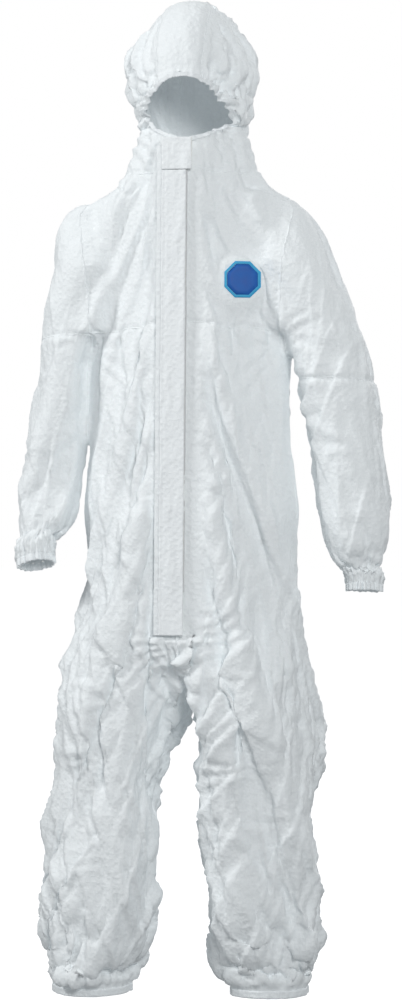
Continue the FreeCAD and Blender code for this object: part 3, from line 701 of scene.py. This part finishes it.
def seam_distance(co):
    """Distance to the nearest seam, and a length along it."""
    x, y, z = co.T
    sleeve = in_sleeve(co)
    hood = (z > NECK_Z) & ~sleeve
    far = np.full(len(co), 1.0)
    side_x = np.where(x > 0, SLEEVE_SEAM_Z["left"], SLEEVE_SEAM_Z["right"])
    level = np.stack([np.where(sleeve, far, np.abs(z - CHEST_Z)), np.abs(z - NECK_Z),
                      np.where(hood, np.abs(z - BROW_Z), far), np.where(sleeve, np.abs(z - side_x), far)])
    upright = np.stack([np.where(z > NECK_Z - 0.3, np.abs(np.abs(x) - ARMHOLE_X), far),
                        np.where(hood & (z > BROW_Z), np.abs(np.abs(x) - STRIP_X), far),
                        np.where(hood | sleeve, far, np.abs(y - seam_y(x, z))),
                        np.where((y > 0) & ~sleeve & (z > CROTCH_Z) & (z < BROW_Z), np.abs(x), far)])
    flat, tall = level.min(0), upright.min(0)
    along = np.where(flat < tall, x + 0.6 * y, z + 0.6 * y)
    return np.minimum(flat, tall), along


def keep_near_frame(co):
    """Ease back whatever stands out of the frame's box, to less than BOX_ROOM past it."""
    for corner, way in zip(CAD_BOX, (-1, 1)):
        past = np.maximum(way * (co - np.array(corner)), 0)
        co = co - way * (past - BOX_ROOM * np.tanh(past / BOX_ROOM))
    return co


def crumple(mesh):
    """Move the cloth along its own normals into folds, creases and puckered seams."""
    rest, co, out = rest_places(mesh), coordinates(mesh), normals(mesh)
    rise = (folds_of(rest) + creases_of(rest) + sharp_folds(rest, out) - 0.002) * freedom(rest)
    edge = np.minimum(1, 0.25 + 0.75 * smoothstep(0.0, 0.02, rest[:, 2] - HEM_Z))
    near, along = seam_distance(rest)
    groove = np.exp(-(near / 0.0045) ** 2)
    pucker = np.exp(-near / 0.012) * zigzag(along / 0.011 + 0.5 * perlin(rest * 40, 14))
    rise = rise * (1 - 0.45 * groove) * edge - 0.0021 * groove + 0.0009 * pucker * freedom(rest)
    set_coordinates(mesh, keep_near_frame(co + out * rise[:, None]))


def draw_in(mesh):
    """Pull the cloth in towards the elastic just above each ankle hem."""
    rest, co = rest_places(mesh), coordinates(mesh)
    pull = 0.035 * smoothstep(HEM_Z + 0.035, HEM_Z, rest[:, 2])
    for side, sign in SIDES.items():
        near = (rest[:, 0] * sign > 0) & (rest[:, 2] < 0.1)
        centre = np.array(ANKLES[side])[:2]
        co[near, :2] += (centre - co[near, :2]) * pull[near, None]
    set_coordinates(mesh, co)


def rest_places(mesh):
    out = np.empty(len(mesh.vertices) * 3)
    mesh.attributes["rest"].data.foreach_get("vector", out)
    return out.reshape(-1, 3)


# ---------------------------------------------------------------- materials
def shader_nodes(material):
    tree = material.node_tree
    return tree, tree.nodes["Principled BSDF"]


def bump(tree, source, strength, distance, before=None):
    node = tree.nodes.new("ShaderNodeBump")
    node.inputs["Strength"].default_value = strength
    node.inputs["Distance"].default_value = distance
    tree.links.new(source, node.inputs["Height"])
    if before:
        tree.links.new(before.outputs["Normal"], node.inputs["Normal"])
    return node


def texture(tree, place, kind, scale, **inputs):
    node = tree.nodes.new(kind)
    node.inputs["Scale"].default_value = scale
    for name, value in inputs.items():
        node.inputs[name].default_value = value
    tree.links.new(place, node.inputs["Vector"])
    return node


def tint(tree, shader, source, low, high):
    """Let a texture vary the base colour between two tones."""
    ramp = tree.nodes.new("ShaderNodeValToRGB")
    ramp.color_ramp.elements[0].position = 0.3
    ramp.color_ramp.elements[1].position = 0.7
    ramp.color_ramp.elements[0].color = (*low, 1)
    ramp.color_ramp.elements[1].color = (*high, 1)
    tree.links.new(source, ramp.inputs["Fac"])
    tree.links.new(ramp.outputs["Color"], shader.inputs["Base Color"])


def roughen(tree, shader, source, low, high):
    span = tree.nodes.new("ShaderNodeMapRange")
    span.inputs["To Min"].default_value = low
    span.inputs["To Max"].default_value = high
    tree.links.new(source, span.inputs["Value"])
    tree.links.new(span.outputs["Result"], shader.inputs["Roughness"])


def fabric_material(name, low, high):
    """Flash-spun white cloth: swirling fibres, fine crinkles and a slight sheen."""
    material = new_material(name, high, 0.6)
    tree, shader = shader_nodes(material)
    shader.inputs["Specular IOR Level"].default_value = 0.35
    shader.inputs["Sheen Weight"].default_value = 0.12
    # Painted glow: a faint even emission stands in for light that comes through the thin cloth.
    shader.inputs["Emission Color"].default_value = (0.90, 0.96, 1.0, 1)
    shader.inputs["Emission Strength"].default_value = 0.07
    place = tree.nodes.new("ShaderNodeTexCoord").outputs["Object"]
    swirl = texture(tree, place, "ShaderNodeTexNoise", 260, Detail=5.0, Distortion=2.2)
    fibre = texture(tree, place, "ShaderNodeTexNoise", 1100, Detail=3.0, Distortion=1.2)
    crease = texture(tree, place, "ShaderNodeTexVoronoi", 120)
    crease.distance = "CHEBYCHEV"
    tint(tree, shader, swirl.outputs["Fac"], low, high)
    roughen(tree, shader, swirl.outputs["Fac"], 0.5, 0.72)
    wide = bump(tree, crease.outputs["Distance"], 0.45, 0.0035)
    fine = bump(tree, fibre.outputs["Fac"], 0.18, 0.0008, wide)
    tree.links.new(fine.outputs["Normal"], shader.inputs["Normal"])
    return material


def woven_material(name, low, high, scale, roughness):
    """Narrow woven tape: fine crossed ribs."""
    material = new_material(name, high, roughness)
    tree, shader = shader_nodes(material)
    shader.inputs["Sheen Weight"].default_value = 0.2
    place = tree.nodes.new("ShaderNodeTexCoord").outputs["Object"]
    ribs = texture(tree, place, "ShaderNodeTexWave", scale, Distortion=0.6)
    ribs.bands_direction = "Z"
    cross = texture(tree, place, "ShaderNodeTexWave", scale * 1.4, Distortion=0.4)
    tint(tree, shader, ribs.outputs["Fac"], low, high)
    first = bump(tree, ribs.outputs["Fac"], 0.5, 0.0006)
    second = bump(tree, cross.outputs["Fac"], 0.4, 0.0005, first)
    tree.links.new(second.outputs["Normal"], shader.inputs["Normal"])
    return material


def moulded_material(name, low, high, scale, rough, metallic=0.0):
    """Moulded or bonded surface with faint mottling and small wear marks."""
    material = new_material(name, high, rough)
    tree, shader = shader_nodes(material)
    shader.inputs["Metallic"].default_value = metallic
    place = tree.nodes.new("ShaderNodeTexCoord").outputs["Object"]
    mottle = texture(tree, place, "ShaderNodeTexNoise", scale, Detail=4.0)
    tint(tree, shader, mottle.outputs["Fac"], low, high)
    roughen(tree, shader, mottle.outputs["Fac"], rough * 0.8, min(1.0, rough * 1.25))
    grain = bump(tree, mottle.outputs["Fac"], 0.2, 0.0005)
    tree.links.new(grain.outputs["Normal"], shader.inputs["Normal"])
    return material


# ---------------------------------------------------------------- panels
# Names of the cloth panels, in the order that panel_of numbers them.
PANELS = [face + "_" + part + "_" + side for part in ("yoke", "leg") for face in ("front", "back") for side in SIDES]
PANELS += ["sleeve_%s_%s" % (part, side) for part in ("upper", "lower") for side in SIDES]
PANELS += ["hood_neck_left", "hood_neck_right", "hood_side_left", "hood_side_right", "hood_centre_panel"]


def panel_of(centre):
    """Index into PANELS of faces whose centres are given in the unworn form."""
    x, y, z = centre.T
    right = x < 0
    back = y > seam_y(x, z)
    body = np.where(z > CHEST_Z, 0, 4) + np.where(back, 2, 0) + right
    seam = np.where(right, SLEEVE_SEAM_Z["right"], SLEEVE_SEAM_Z["left"])
    sleeve = 8 + np.where(z > seam, 0, 2) + right
    hood = 12 + np.where(z > BROW_Z, 2, 0) + right
    hood = np.where((z > BROW_Z) & (np.abs(x) < STRIP_X), 16, hood)
    return np.where(in_sleeve(centre), sleeve, np.where(z > NECK_Z, hood, body))


def face_table(mesh):
    """Corner vertices of every face, the sizes of the faces and their first corners."""
    corners = np.empty(len(mesh.loops), int)
    mesh.loops.foreach_get("vertex_index", corners)
    sizes = np.empty(len(mesh.polygons), int)
    mesh.polygons.foreach_get("loop_total", sizes)
    starts = np.empty(len(mesh.polygons), int)
    mesh.polygons.foreach_get("loop_start", starts)
    return corners, sizes, starts


def split_panels(mesh, material):
    """Give every panel its own piece of the crumpled skin."""
    rest, co = rest_places(mesh), coordinates(mesh)
    corners, sizes, starts = face_table(mesh)
    owner = np.repeat(np.arange(len(sizes)), sizes)
    centre = np.stack([np.bincount(owner, rest[corners, axis]) / sizes for axis in range(3)], 1)
    panel = panel_of(centre)
    pieces = {}
    for index, name in enumerate(PANELS):
        chosen = np.nonzero(panel == index)[0]
        faces = [corners[starts[face]:starts[face] + sizes[face]] for face in chosen]
        used = np.unique(np.concatenate(faces))
        renumber = np.full(len(co), -1)
        renumber[used] = np.arange(len(used))
        part = bpy.data.meshes.new(name + "_cloth")
        part.from_pydata(co[used].tolist(), [], [renumber[face].tolist() for face in faces])
        pieces[name] = new_piece(name + "_cloth", part, material)
    return pieces, panel


def seam_lines(mesh, panel):
    """Chains of vertices along every edge that two panels share."""
    corners, sizes, starts = face_table(mesh)
    owners = {}
    loop_edge = np.empty(len(mesh.loops), int)
    mesh.loops.foreach_get("edge_index", loop_edge)
    owner = np.repeat(np.arange(len(sizes)), sizes)
    order = np.argsort(loop_edge, kind="stable")
    edge_sorted, face_sorted = loop_edge[order], owner[order]
    same = edge_sorted[1:] == edge_sorted[:-1]
    first, second = face_sorted[:-1][same], face_sorted[1:][same]
    shared = edge_sorted[1:][same][panel[first] != panel[second]]
    ends = np.empty(len(mesh.edges) * 2, int)
    mesh.edges.foreach_get("vertices", ends)
    ends = ends.reshape(-1, 2)
    for a, b in ends[shared].tolist():
        owners.setdefault(a, []).append(b)
        owners.setdefault(b, []).append(a)
    chains, used = [], set()
    starts_at = sorted(owners, key=lambda vert: (len(owners[vert]) == 2, vert))
    for start in starts_at:
        for following in owners[start]:
            if (start, following) in used:
                continue
            chain = [start, following]
            used.update({(start, following), (following, start)})
            while len(owners[chain[-1]]) == 2:
                options = [vert for vert in owners[chain[-1]] if (chain[-1], vert) not in used]
                if not options:
                    break
                used.update({(chain[-1], options[0]), (options[0], chain[-1])})
                chain.append(options[0])
            if len(chain) > 6:
                chains.append(chain)
    return chains


SEAM_PROFILE = [(-0.0018, -0.0008), (-0.0011, 0.0005), (0.0, 0.0010), (0.0011, 0.0005), (0.0018, -0.0008)]
STITCH = 0.0016


def bead(vertices, faces, line, out):
    """A narrow overlocked ridge along a line that lies on the cloth."""
    steps = np.linalg.norm(np.diff(line, axis=0), axis=1)
    length = np.concatenate([[0], np.cumsum(steps)])
    marks = np.arange(0, length[-1], STITCH)
    place = np.stack([np.interp(marks, length, line[:, axis]) for axis in range(3)], 1)
    lift = np.stack([np.interp(marks, length, out[:, axis]) for axis in range(3)], 1)
    along = np.gradient(place, axis=0)
    across = np.cross(along, lift)
    across /= np.maximum(np.linalg.norm(across, axis=1), 1e-9)[:, None]
    first = len(vertices)
    tall = 1 + 0.28 * (-1.0) ** np.arange(len(marks))
    for side, height in SEAM_PROFILE:
        vertices.extend((place + across * side + lift * (height * tall)[:, None]).tolist())
    count = len(marks)
    for strip in range(len(SEAM_PROFILE) - 1):
        for step in range(count - 1):
            low = first + strip * count + step
            faces.append((low, low + 1, low + count + 1, low + count))


def make_seams(mesh, panel, material):
    """Raised seams, one piece for the body and one for the hood."""
    co, out, rest = coordinates(mesh), normals(mesh), rest_places(mesh)
    found = {"body_seams": ([], []), "hood_seams": ([], [])}
    for chain in seam_lines(mesh, panel):
        line = co[chain].copy()
        for _ in range(2):
            line[1:-1] = line[1:-1] * 0.5 + (line[:-2] + line[2:]) * 0.25
        lift = out[chain]
        name = "hood_seams" if rest[chain, 2].mean() > NECK_Z + 0.01 else "body_seams"
        bead(*found[name], line, lift)
    pieces = {}
    for name, (vertices, faces) in found.items():
        seam = bpy.data.meshes.new(name)
        seam.from_pydata(vertices, [], faces)
        pieces[name] = new_piece(name, seam, material)
    return pieces


# ---------------------------------------------------------------- hems
HEM_PROFILE = [(0.0, 0.35), (0.12, 1.0), (0.38, 0.75), (0.62, 0.8), (0.88, 1.0), (1.0, 0.0), (0.88, -1.0),
               (0.5, -0.9), (0.12, -1.0), (0.0, -0.4)]


def hem_piece(name, border, inward, out, width, half_wall, closed, folds, material):
    """A rolled, gathered hem that carries on from the border of the cloth."""
    border, inward, out = np.array(border), np.array(inward), np.array(out)
    count = len(border)
    steps = np.linalg.norm(np.roll(border, -1, axis=0) - border, axis=1)
    turns = np.concatenate([[0], np.cumsum(steps[:-1])]) / steps.sum() * folds
    ruffle = 0.55 * zigzag(turns + 0.25 * perlin(border * 30, 15))
    vertices = []
    for along, across in HEM_PROFILE:
        offset = half_wall * (across * (1 + 0.3 * ruffle) + 0.5 * ruffle * (0.3 + 0.7 * along))
        vertices.extend((border + inward * (along * width) + out * offset[:, None]).tolist())
    faces = []
    rows = len(HEM_PROFILE)
    for row in range(rows):
        for step in range(count if closed else count - 1):
            after, below = (step + 1) % count, (row + 1) % rows
            faces.append((row * count + step, row * count + after, below * count + after, below * count + step))
    if not closed:
        faces.append([row * count for row in range(rows)])
        faces.append([row * count + count - 1 for row in reversed(range(rows))])
    mesh = bpy.data.meshes.new(name)
    mesh.from_pydata(vertices, [], faces)
    piece = new_piece(name, mesh, material)
    smooth = piece.modifiers.new("subdivide", "SUBSURF")
    smooth.levels = smooth.render_levels = 1
    apply_modifiers(piece)
    return piece


def border_vertices(mesh):
    """Vertices on the open edges of the skin."""
    loop_edge = np.empty(len(mesh.loops), int)
    mesh.loops.foreach_get("edge_index", loop_edge)
    lone = np.bincount(loop_edge, minlength=len(mesh.edges)) == 1
    ends = np.empty(len(mesh.edges) * 2, int)
    mesh.edges.foreach_get("vertices", ends)
    return np.unique(ends.reshape(-1, 2)[lone])


def make_hems(mesh, material):
    """Rolled elastic hems at the ankles, the cuffs and round the face."""
    rest, co = rest_places(mesh), coordinates(mesh)
    rim = border_vertices(mesh)
    hems = {}

    def build(name, chosen, around, width, half_wall, closed, folds, direction):
        order = chosen[np.argsort(around[np.isin(rim, chosen)])]
        line = co[order]
        inward = direction(line)
        centre = line.mean(0)
        out = line - centre
        along = np.roll(line, -1, axis=0) - np.roll(line, 1, axis=0)
        if not closed:
            along[0], along[-1] = line[1] - line[0], line[-1] - line[-2]
        out = np.cross(along, inward)
        out /= np.maximum(np.linalg.norm(out, axis=1), 1e-9)[:, None]
        hems[name] = hem_piece(name + "_cloth", line, inward, out, width, half_wall, closed, folds, material)

    for side, sign in SIDES.items():
        for limb, place, axis in (("ankle", ANKLES[side], Vector((0, 0, -1))),
                                  ("cuff", CUFFS[side][1], CUFFS[side][0])):
            local = rest[rim] - np.array(place)
            reach = 0.12 if limb == "ankle" else 0.06
            near = np.linalg.norm(local, axis=1) < reach
            flat = np.cross(np.array(axis), [0.0, 1.0, 0.0])
            flat /= np.linalg.norm(flat)
            other = np.cross(np.array(axis), flat)
            around = np.arctan2(local @ other, local @ flat)
            straight = np.array(axis)
            build("%s_hem_%s" % (limb, side), rim[near], around, 0.014, 0.0022, True,
                  26 if limb == "ankle" else 19, lambda line: np.tile(straight, (len(line), 1)))
    local = rest[rim] - np.array([EGG_X, 0, EGG_Z])
    # Measured from straight down, so that each lower half starts or ends at the zipper gap.
    around = np.arctan2(local[:, 0], -local[:, 2])
    face = (rest[rim, 2] > EGG_FOOT - 0.004) & (rest[rim, 1] < 0) & (np.abs(face_share(rest[rim]) - 1) < 0.12)
    face &= np.abs(rest[rim, 0]) > GAP_X - 0.001

    def to_centre(line):
        way = np.array([EGG_X, 0, EGG_Z]) - line
        way[:, 1] = 0
        return way / np.linalg.norm(way, axis=1)[:, None]

    upper = around % (2 * np.pi)
    high = rest[rim, 2] > BROW_Z - 0.001
    build("face_hem_upper", rim[face & high], upper, 0.009, 0.0019, False, 26, to_centre)
    low = face & (rest[rim, 2] < BROW_Z + 0.005)
    build("face_hem_lower_left", rim[low & (rest[rim, 0] > 0)], upper, 0.009, 0.0019, False, 7, to_centre)
    build("face_hem_lower_right", rim[low & (rest[rim, 0] < 0)], upper, 0.009, 0.0019, False, 7, to_centre)
    return hems


# ---------------------------------------------------------------- flaps and zipper
def line_depth(z):
    """Depth of the storm flap's front face at a height."""
    corners = coordinates(NODES["zip_flap"].data)
    low, high = corners[:, 2].min(), corners[:, 2].max()
    foot = corners[corners[:, 2] < low + 0.002][:, 1].min()
    top = corners[corners[:, 2] > high - 0.002][:, 1].min()
    return foot + (top - foot) * (z - low) / (high - low)


def bar_piece(name, x0, x1, z0, z1, front, back, columns, rows, material, relief):
    """Closed strip along the centre-front line; front and back lie behind the storm flap's face."""
    u = np.linspace(0, 1, columns)
    v = np.linspace(0, 1, rows)
    grid_u, grid_v = [grid.ravel() for grid in np.meshgrid(u, v)]
    x, z = x0 + (x1 - x0) * grid_u, z0 + (z1 - z0) * grid_v
    shift = relief(grid_u, x, z)
    x = x + 0.0009 * perlin(np.stack([x * 4, np.zeros_like(x), z * 13], 1), 19)
    y = line_depth(z)
    faces = []
    sheets = [np.stack([x, y + front - shift, z], 1), np.stack([x, y + back - shift, z], 1)]
    count = len(x)
    for row in range(rows - 1):
        for column in range(columns - 1):
            low = row * columns + column
            faces.append((low, low + 1, low + columns + 1, low + columns))
            faces.append((count + low, count + low + columns, count + low + columns + 1, count + low + 1))
    for row in range(rows - 1):
        for column in (0, columns - 1):
            low = row * columns + column
            faces.append((low, low + columns, count + low + columns, count + low))
    for column in range(columns - 1):
        for row in (0, rows - 1):
            low = row * columns + column
            faces.append((low, low + 1, count + low + 1, count + low))
    mesh = bpy.data.meshes.new(name)
    mesh.from_pydata(np.concatenate(sheets).tolist(), [], faces)
    bm = bmesh.new()
    bm.from_mesh(mesh)
    bmesh.ops.recalc_face_normals(bm, faces=bm.faces)
    bm.to_mesh(mesh)
    bm.free()
    return new_piece(name, mesh, material)


def flap_relief(u, x, z):
    """Gentle waves, a folded edge and a line of stitching beside the sewn edge."""
    points = np.stack([x * 3, np.zeros_like(x), z], 1)
    waves = 0.0014 * perlin(points * 14, 16) + 0.0016 * facets(points / np.array([0.05, 0.05, 0.06]), 17)
    stitches = np.exp(-((u - 0.14) / 0.035) ** 2) * (0.0007 + 0.00025 * zigzag(z / 0.0035))
    fold = 0.0003 * smoothstep(0.06, 0.0, np.minimum(u, 1 - u))
    # The adhesive strip lies close behind, so the flap dips little.
    waves = np.maximum(waves, -0.0004)
    return waves * smoothstep(0.0, 0.12, np.minimum(u, 1 - u) + 0.03) - stitches - fold


def flat_relief(u, x, z):
    points = np.stack([x, np.zeros_like(x), z], 1)
    return 0.00025 * perlin(points * 60, 18)


def facing_relief(u, x, z):
    return flat_relief(u, x, z) - 0.0003 * smoothstep(0.25, 0.0, np.minimum(u, 1 - u))


def coil_piece(side, material):
    """Zipper coil: one slanted loop after another along the tape's inner edge."""
    low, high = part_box("zipper_coil_" + side)
    sign = SIDES[side]
    pitch, wire = 0.0016, 0.00045
    inner, outer = min(abs(low.x), abs(high.x)), max(abs(low.x), abs(high.x))
    count = int((high.z - low.z) / pitch)
    path = [(outer, 0.3), (inner + 0.0005, 0.35), (inner, 1.1), (inner + 0.0005, 1.8), (outer, 1.9)]
    vertices, faces = [], []
    for index in range(count):
        z = low.z + (index + 0.5 + (0.0 if sign > 0 else 0.25)) * pitch
        base = float(line_depth(z)) + 0.0066
        first = len(vertices)
        for step, (x, out) in enumerate(path):
            slant = (step / (len(path) - 1) - 0.5) * pitch * 0.5
            for turn in range(4):
                angle = math.pi / 4 + turn * math.pi / 2
                vertices.append((sign * (x + wire * 0.3 * math.cos(angle)),
                                 base - out / 1000 + wire * math.sin(angle),
                                 z + slant + wire * math.cos(angle)))
        for step in range(len(path) - 1):
            for turn in range(4):
                a, b = first + step * 4 + turn, first + step * 4 + (turn + 1) % 4
                faces.append((a, b, b + 4, a + 4))
        faces.append([first + turn for turn in range(4)])
        faces.append([first + 4 * (len(path) - 1) + turn for turn in range(4)])
    mesh = bpy.data.meshes.new("coil_" + side)
    mesh.from_pydata(vertices, [], faces)
    return new_piece("coil_" + side, mesh, material)


# ---------------------------------------------------------------- bonded and inner pieces
def lie_on(tree, points, direction, lift):
    """Drop points along a direction onto the cloth and stand them off it."""
    placed = []
    for point in points:
        hit, normal, _, _ = tree.ray_cast(Vector(point), Vector(direction), 0.4)
        if hit is None:
            hit, normal, _, _ = tree.find_nearest(Vector(point))
        placed.append(hit - Vector(direction) * lift)
    return np.array(placed)


def smooth_rows(depth, times):
    """Even out a grid of depths, so that a stiff piece spans the small creases."""
    for _ in range(times):
        padded = np.pad(depth, 1, mode="edge")
        depth = (padded[:-2, 1:-1] + padded[2:, 1:-1] + padded[1:-1, :-2] + padded[1:-1, 2:]) / 4
    return depth


def badge_pieces(tree, fill, border):
    """Plain eight-sided emblem and its rim, bonded over the creases of the left chest."""
    low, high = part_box("badge_border")
    x, z, half = (low.x + high.x) / 2, (low.z + high.z) / 2, (high.z - low.z) / 2
    stretch = (high.x - low.x) / (high.z - low.z)
    inner = half - 0.005
    rings = [0.0, 0.35, 0.7, 0.96, 1.0]
    pieces = {}
    for name, radii, lift, material in (("chest_badge", [inner * r for r in rings], 0.0013, fill),
                                        ("badge_border", [inner, inner + 0.001, half - 0.0008, half], 0.0016, border)):
        turns = 48
        points = []
        for radius in radii:
            for turn in range(turns):
                angle = 2 * math.pi * turn / turns
                sector = (angle + math.pi / 8) % (math.pi / 4) - math.pi / 8
                reach = radius / math.cos(sector)
                points.append((x + reach * math.cos(angle) * stretch, low.y - 0.08, z + reach * math.sin(angle)))
        placed = lie_on(tree, points, (0, 1, 0), lift)
        slope = np.polynomial.polynomial.polyvander2d(placed[:, 0] - x, placed[:, 2] - z, [2, 2])
        fit = np.linalg.lstsq(slope, placed[:, 1], rcond=None)[0]
        placed[:, 1] = 0.35 * placed[:, 1] + 0.65 * (slope @ fit)
        edge = np.zeros(len(placed))
        edge[-turns:] = 0.0016
        if name == "badge_border":
            edge[:turns] = 0.0004
        placed[:, 1] += edge - 0.0012
        faces = []
        for ring in range(len(radii) - 1):
            for turn in range(turns):
                after = (turn + 1) % turns
                faces.append((ring * turns + turn, ring * turns + after, (ring + 1) * turns + after,
                              (ring + 1) * turns + turn))
        mesh = bpy.data.meshes.new(name + "_film")
        mesh.from_pydata(placed.tolist(), [], faces)
        if name == "chest_badge":
            bm = bmesh.new()
            bm.from_mesh(mesh)
            bmesh.ops.remove_doubles(bm, verts=bm.verts, dist=0.00001)
            bm.to_mesh(mesh)
            bm.free()
        pieces[name] = new_piece(name + "_film", mesh, material)
    return pieces


def band_inside(name, tree, x0, x1, z0, z1, columns, rows, lift, material, ruffle):
    """A strip laid on the inside of the back, from a point near the middle of the suit outwards."""
    points = [(x0 + (x1 - x0) * column / (columns - 1), 0.03, z0 + (z1 - z0) * row / (rows - 1))
              for row in range(rows) for column in range(columns)]
    placed = lie_on(tree, points, (0, 1, 0), lift)
    depth = smooth_rows(placed[:, 1].reshape(rows, columns), 3)
    wave = ruffle * zigzag(np.arange(columns) / 5.0)
    placed[:, 1] = (depth + wave).ravel()
    faces = [(row * columns + column, row * columns + column + 1, (row + 1) * columns + column + 1,
              (row + 1) * columns + column) for row in range(rows - 1) for column in range(columns - 1)]
    mesh = bpy.data.meshes.new(name)
    mesh.from_pydata(placed.tolist(), [], faces)
    piece = new_piece(name, mesh, material)
    wall = piece.modifiers.new("wall", "SOLIDIFY")
    wall.thickness = 0.0008
    apply_modifiers(piece)
    return piece


# ---------------------------------------------------------------- the suit
make_camera()
make_studio()
CLOTH = fabric_material("suit_fabric", (0.79, 0.83, 0.845), (0.86, 0.89, 0.90))
HEM_CLOTH = fabric_material("hem_fabric", (0.77, 0.81, 0.83), (0.85, 0.88, 0.89))
FLAP_CLOTH = fabric_material("flap_fabric", (0.79, 0.825, 0.84), (0.86, 0.885, 0.895))
TAPE = woven_material("zipper_tape", (0.74, 0.76, 0.78), (0.86, 0.87, 0.88), 420, 0.7)
COIL = moulded_material("zipper_coil", (0.80, 0.81, 0.82), (0.90, 0.90, 0.90), 300, 0.35)
METAL = moulded_material("zipper_slider", (0.62, 0.63, 0.65), (0.80, 0.81, 0.82), 180, 0.32, 0.85)
GLUE = moulded_material("adhesive", (0.80, 0.79, 0.70), (0.88, 0.87, 0.80), 90, 0.25)
BADGE = moulded_material("badge", (0.003, 0.095, 0.42), (0.006, 0.125, 0.48), 60, 0.6)
RIM = moulded_material("badge_border", (0.03, 0.36, 0.66), (0.05, 0.43, 0.73), 60, 0.55)
LABEL = woven_material("label", (0.80, 0.80, 0.79), (0.90, 0.90, 0.89), 500, 0.6)
ELASTIC = woven_material("elastic", (0.76, 0.77, 0.78), (0.87, 0.88, 0.88), 330, 0.75)

skin = body_surface()
cut_openings(skin)
unworn = coordinates(skin.data)
simulate(skin)
rest_layer = skin.data.attributes.new("rest", "FLOAT_VECTOR", "POINT")
rest_layer.data.foreach_set("vector", unworn.ravel())
subdivide = skin.modifiers.new("subdivide", "SUBSURF")
subdivide.levels = subdivide.render_levels = 1
apply_modifiers(skin)
crumple(skin.data)
draw_in(skin.data)
SURFACE = skin.data
pieces, panel_index = split_panels(SURFACE, CLOTH)
seams = make_seams(SURFACE, panel_index, CLOTH)
hems = make_hems(SURFACE, HEM_CLOTH)
cloth_tree = BVHTree.FromPolygons(coordinates(SURFACE).tolist(), [list(face.vertices) for face in SURFACE.polygons])
bpy.data.objects.remove(skin)

flap_low, flap_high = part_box("zip_flap")
flap = bar_piece("zip_flap_cloth", flap_low.x, flap_high.x, flap_low.z, flap_high.z, 0.0, 0.0011, 23, 330,
                 FLAP_CLOTH, flap_relief)
chin_low, chin_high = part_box("chin_flap")
chin = bar_piece("chin_flap_cloth", chin_low.x, chin_high.x, chin_low.z, chin_high.z, 0.0, 0.0011, 27, 28,
                 FLAP_CLOTH, flap_relief)
facing_low, facing_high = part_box("flap_facing")
facing = bar_piece("flap_facing_cloth", facing_low.x, facing_high.x, facing_low.z, facing_high.z, 0.0003, 0.012,
                   7, 340, CLOTH, facing_relief)
tapes, coils = {}, {}
for side in SIDES:
    low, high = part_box("zipper_tape_" + side)
    tapes[side] = bar_piece("tape_" + side, low.x, high.x, low.z, high.z, 0.0065, 0.0077, 9, 200, TAPE, flat_relief)
    coils[side] = coil_piece(side, COIL)
films = badge_pieces(cloth_tree, BADGE, RIM)
waist_low, waist_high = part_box("waist_elastic")
waist = band_inside("waist_elastic_band", cloth_tree, waist_low.x + 0.02, waist_high.x - 0.02, waist_low.z,
                    waist_high.z, 160, 8, 0.0025, ELASTIC, 0.0006)
label_low, label_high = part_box("size_label")
label = band_inside("size_label_cloth", cloth_tree, label_low.x, label_high.x, label_low.z, label_high.z, 24, 14,
                    0.0035, LABEL, 0.0)


def follow_hood(piece):
    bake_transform(piece)


for name, piece in pieces.items():
    if name.startswith("hood"):
        follow_hood(piece)
    else:
        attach(piece, "suit")
    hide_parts(name)
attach(seams["body_seams"], "suit")
follow_hood(seams["hood_seams"])
for name, piece in hems.items():
    if name.startswith("face"):
        follow_hood(piece)
    else:
        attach(piece, "suit")
    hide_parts(name, name.replace("hem", "elastic"))
for piece, node, body, slot in (
        (flap, "zip_flap", "front_flap", "suit_fabric"), (chin, "chin_flap", "front_flap", "suit_fabric"),
        (facing, "flap_facing", "suit", "suit_fabric"), (tapes["left"], "zipper_tape_left", "suit", "zipper_tape"),
        (tapes["right"], "zipper_tape_right", "suit", "zipper_tape"),
        (coils["left"], "zipper_coil_left", "suit", "zipper_coil"),
        (coils["right"], "zipper_coil_right", "suit", "zipper_coil"),
        (films["chest_badge"], "chest_badge", "suit", "badge"),
        (films["badge_border"], "badge_border", "suit", "badge_border"),
        (waist, "waist_elastic", "suit", "elastic"), (label, "size_label", "suit", "label")):
    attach(piece, body)
    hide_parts(node)
for node, material in (("zipper_slider", METAL), ("zipper_pull_tab", METAL), ("zip_flap_adhesive", GLUE),
                       ("chin_flap_adhesive", GLUE), ("zipper_top_stop_left", METAL),
                       ("zipper_top_stop_right", METAL), ("zipper_bottom_stop", METAL)):
    NODES[node].data.materials.clear()
    NODES[node].data.materials.append(material)
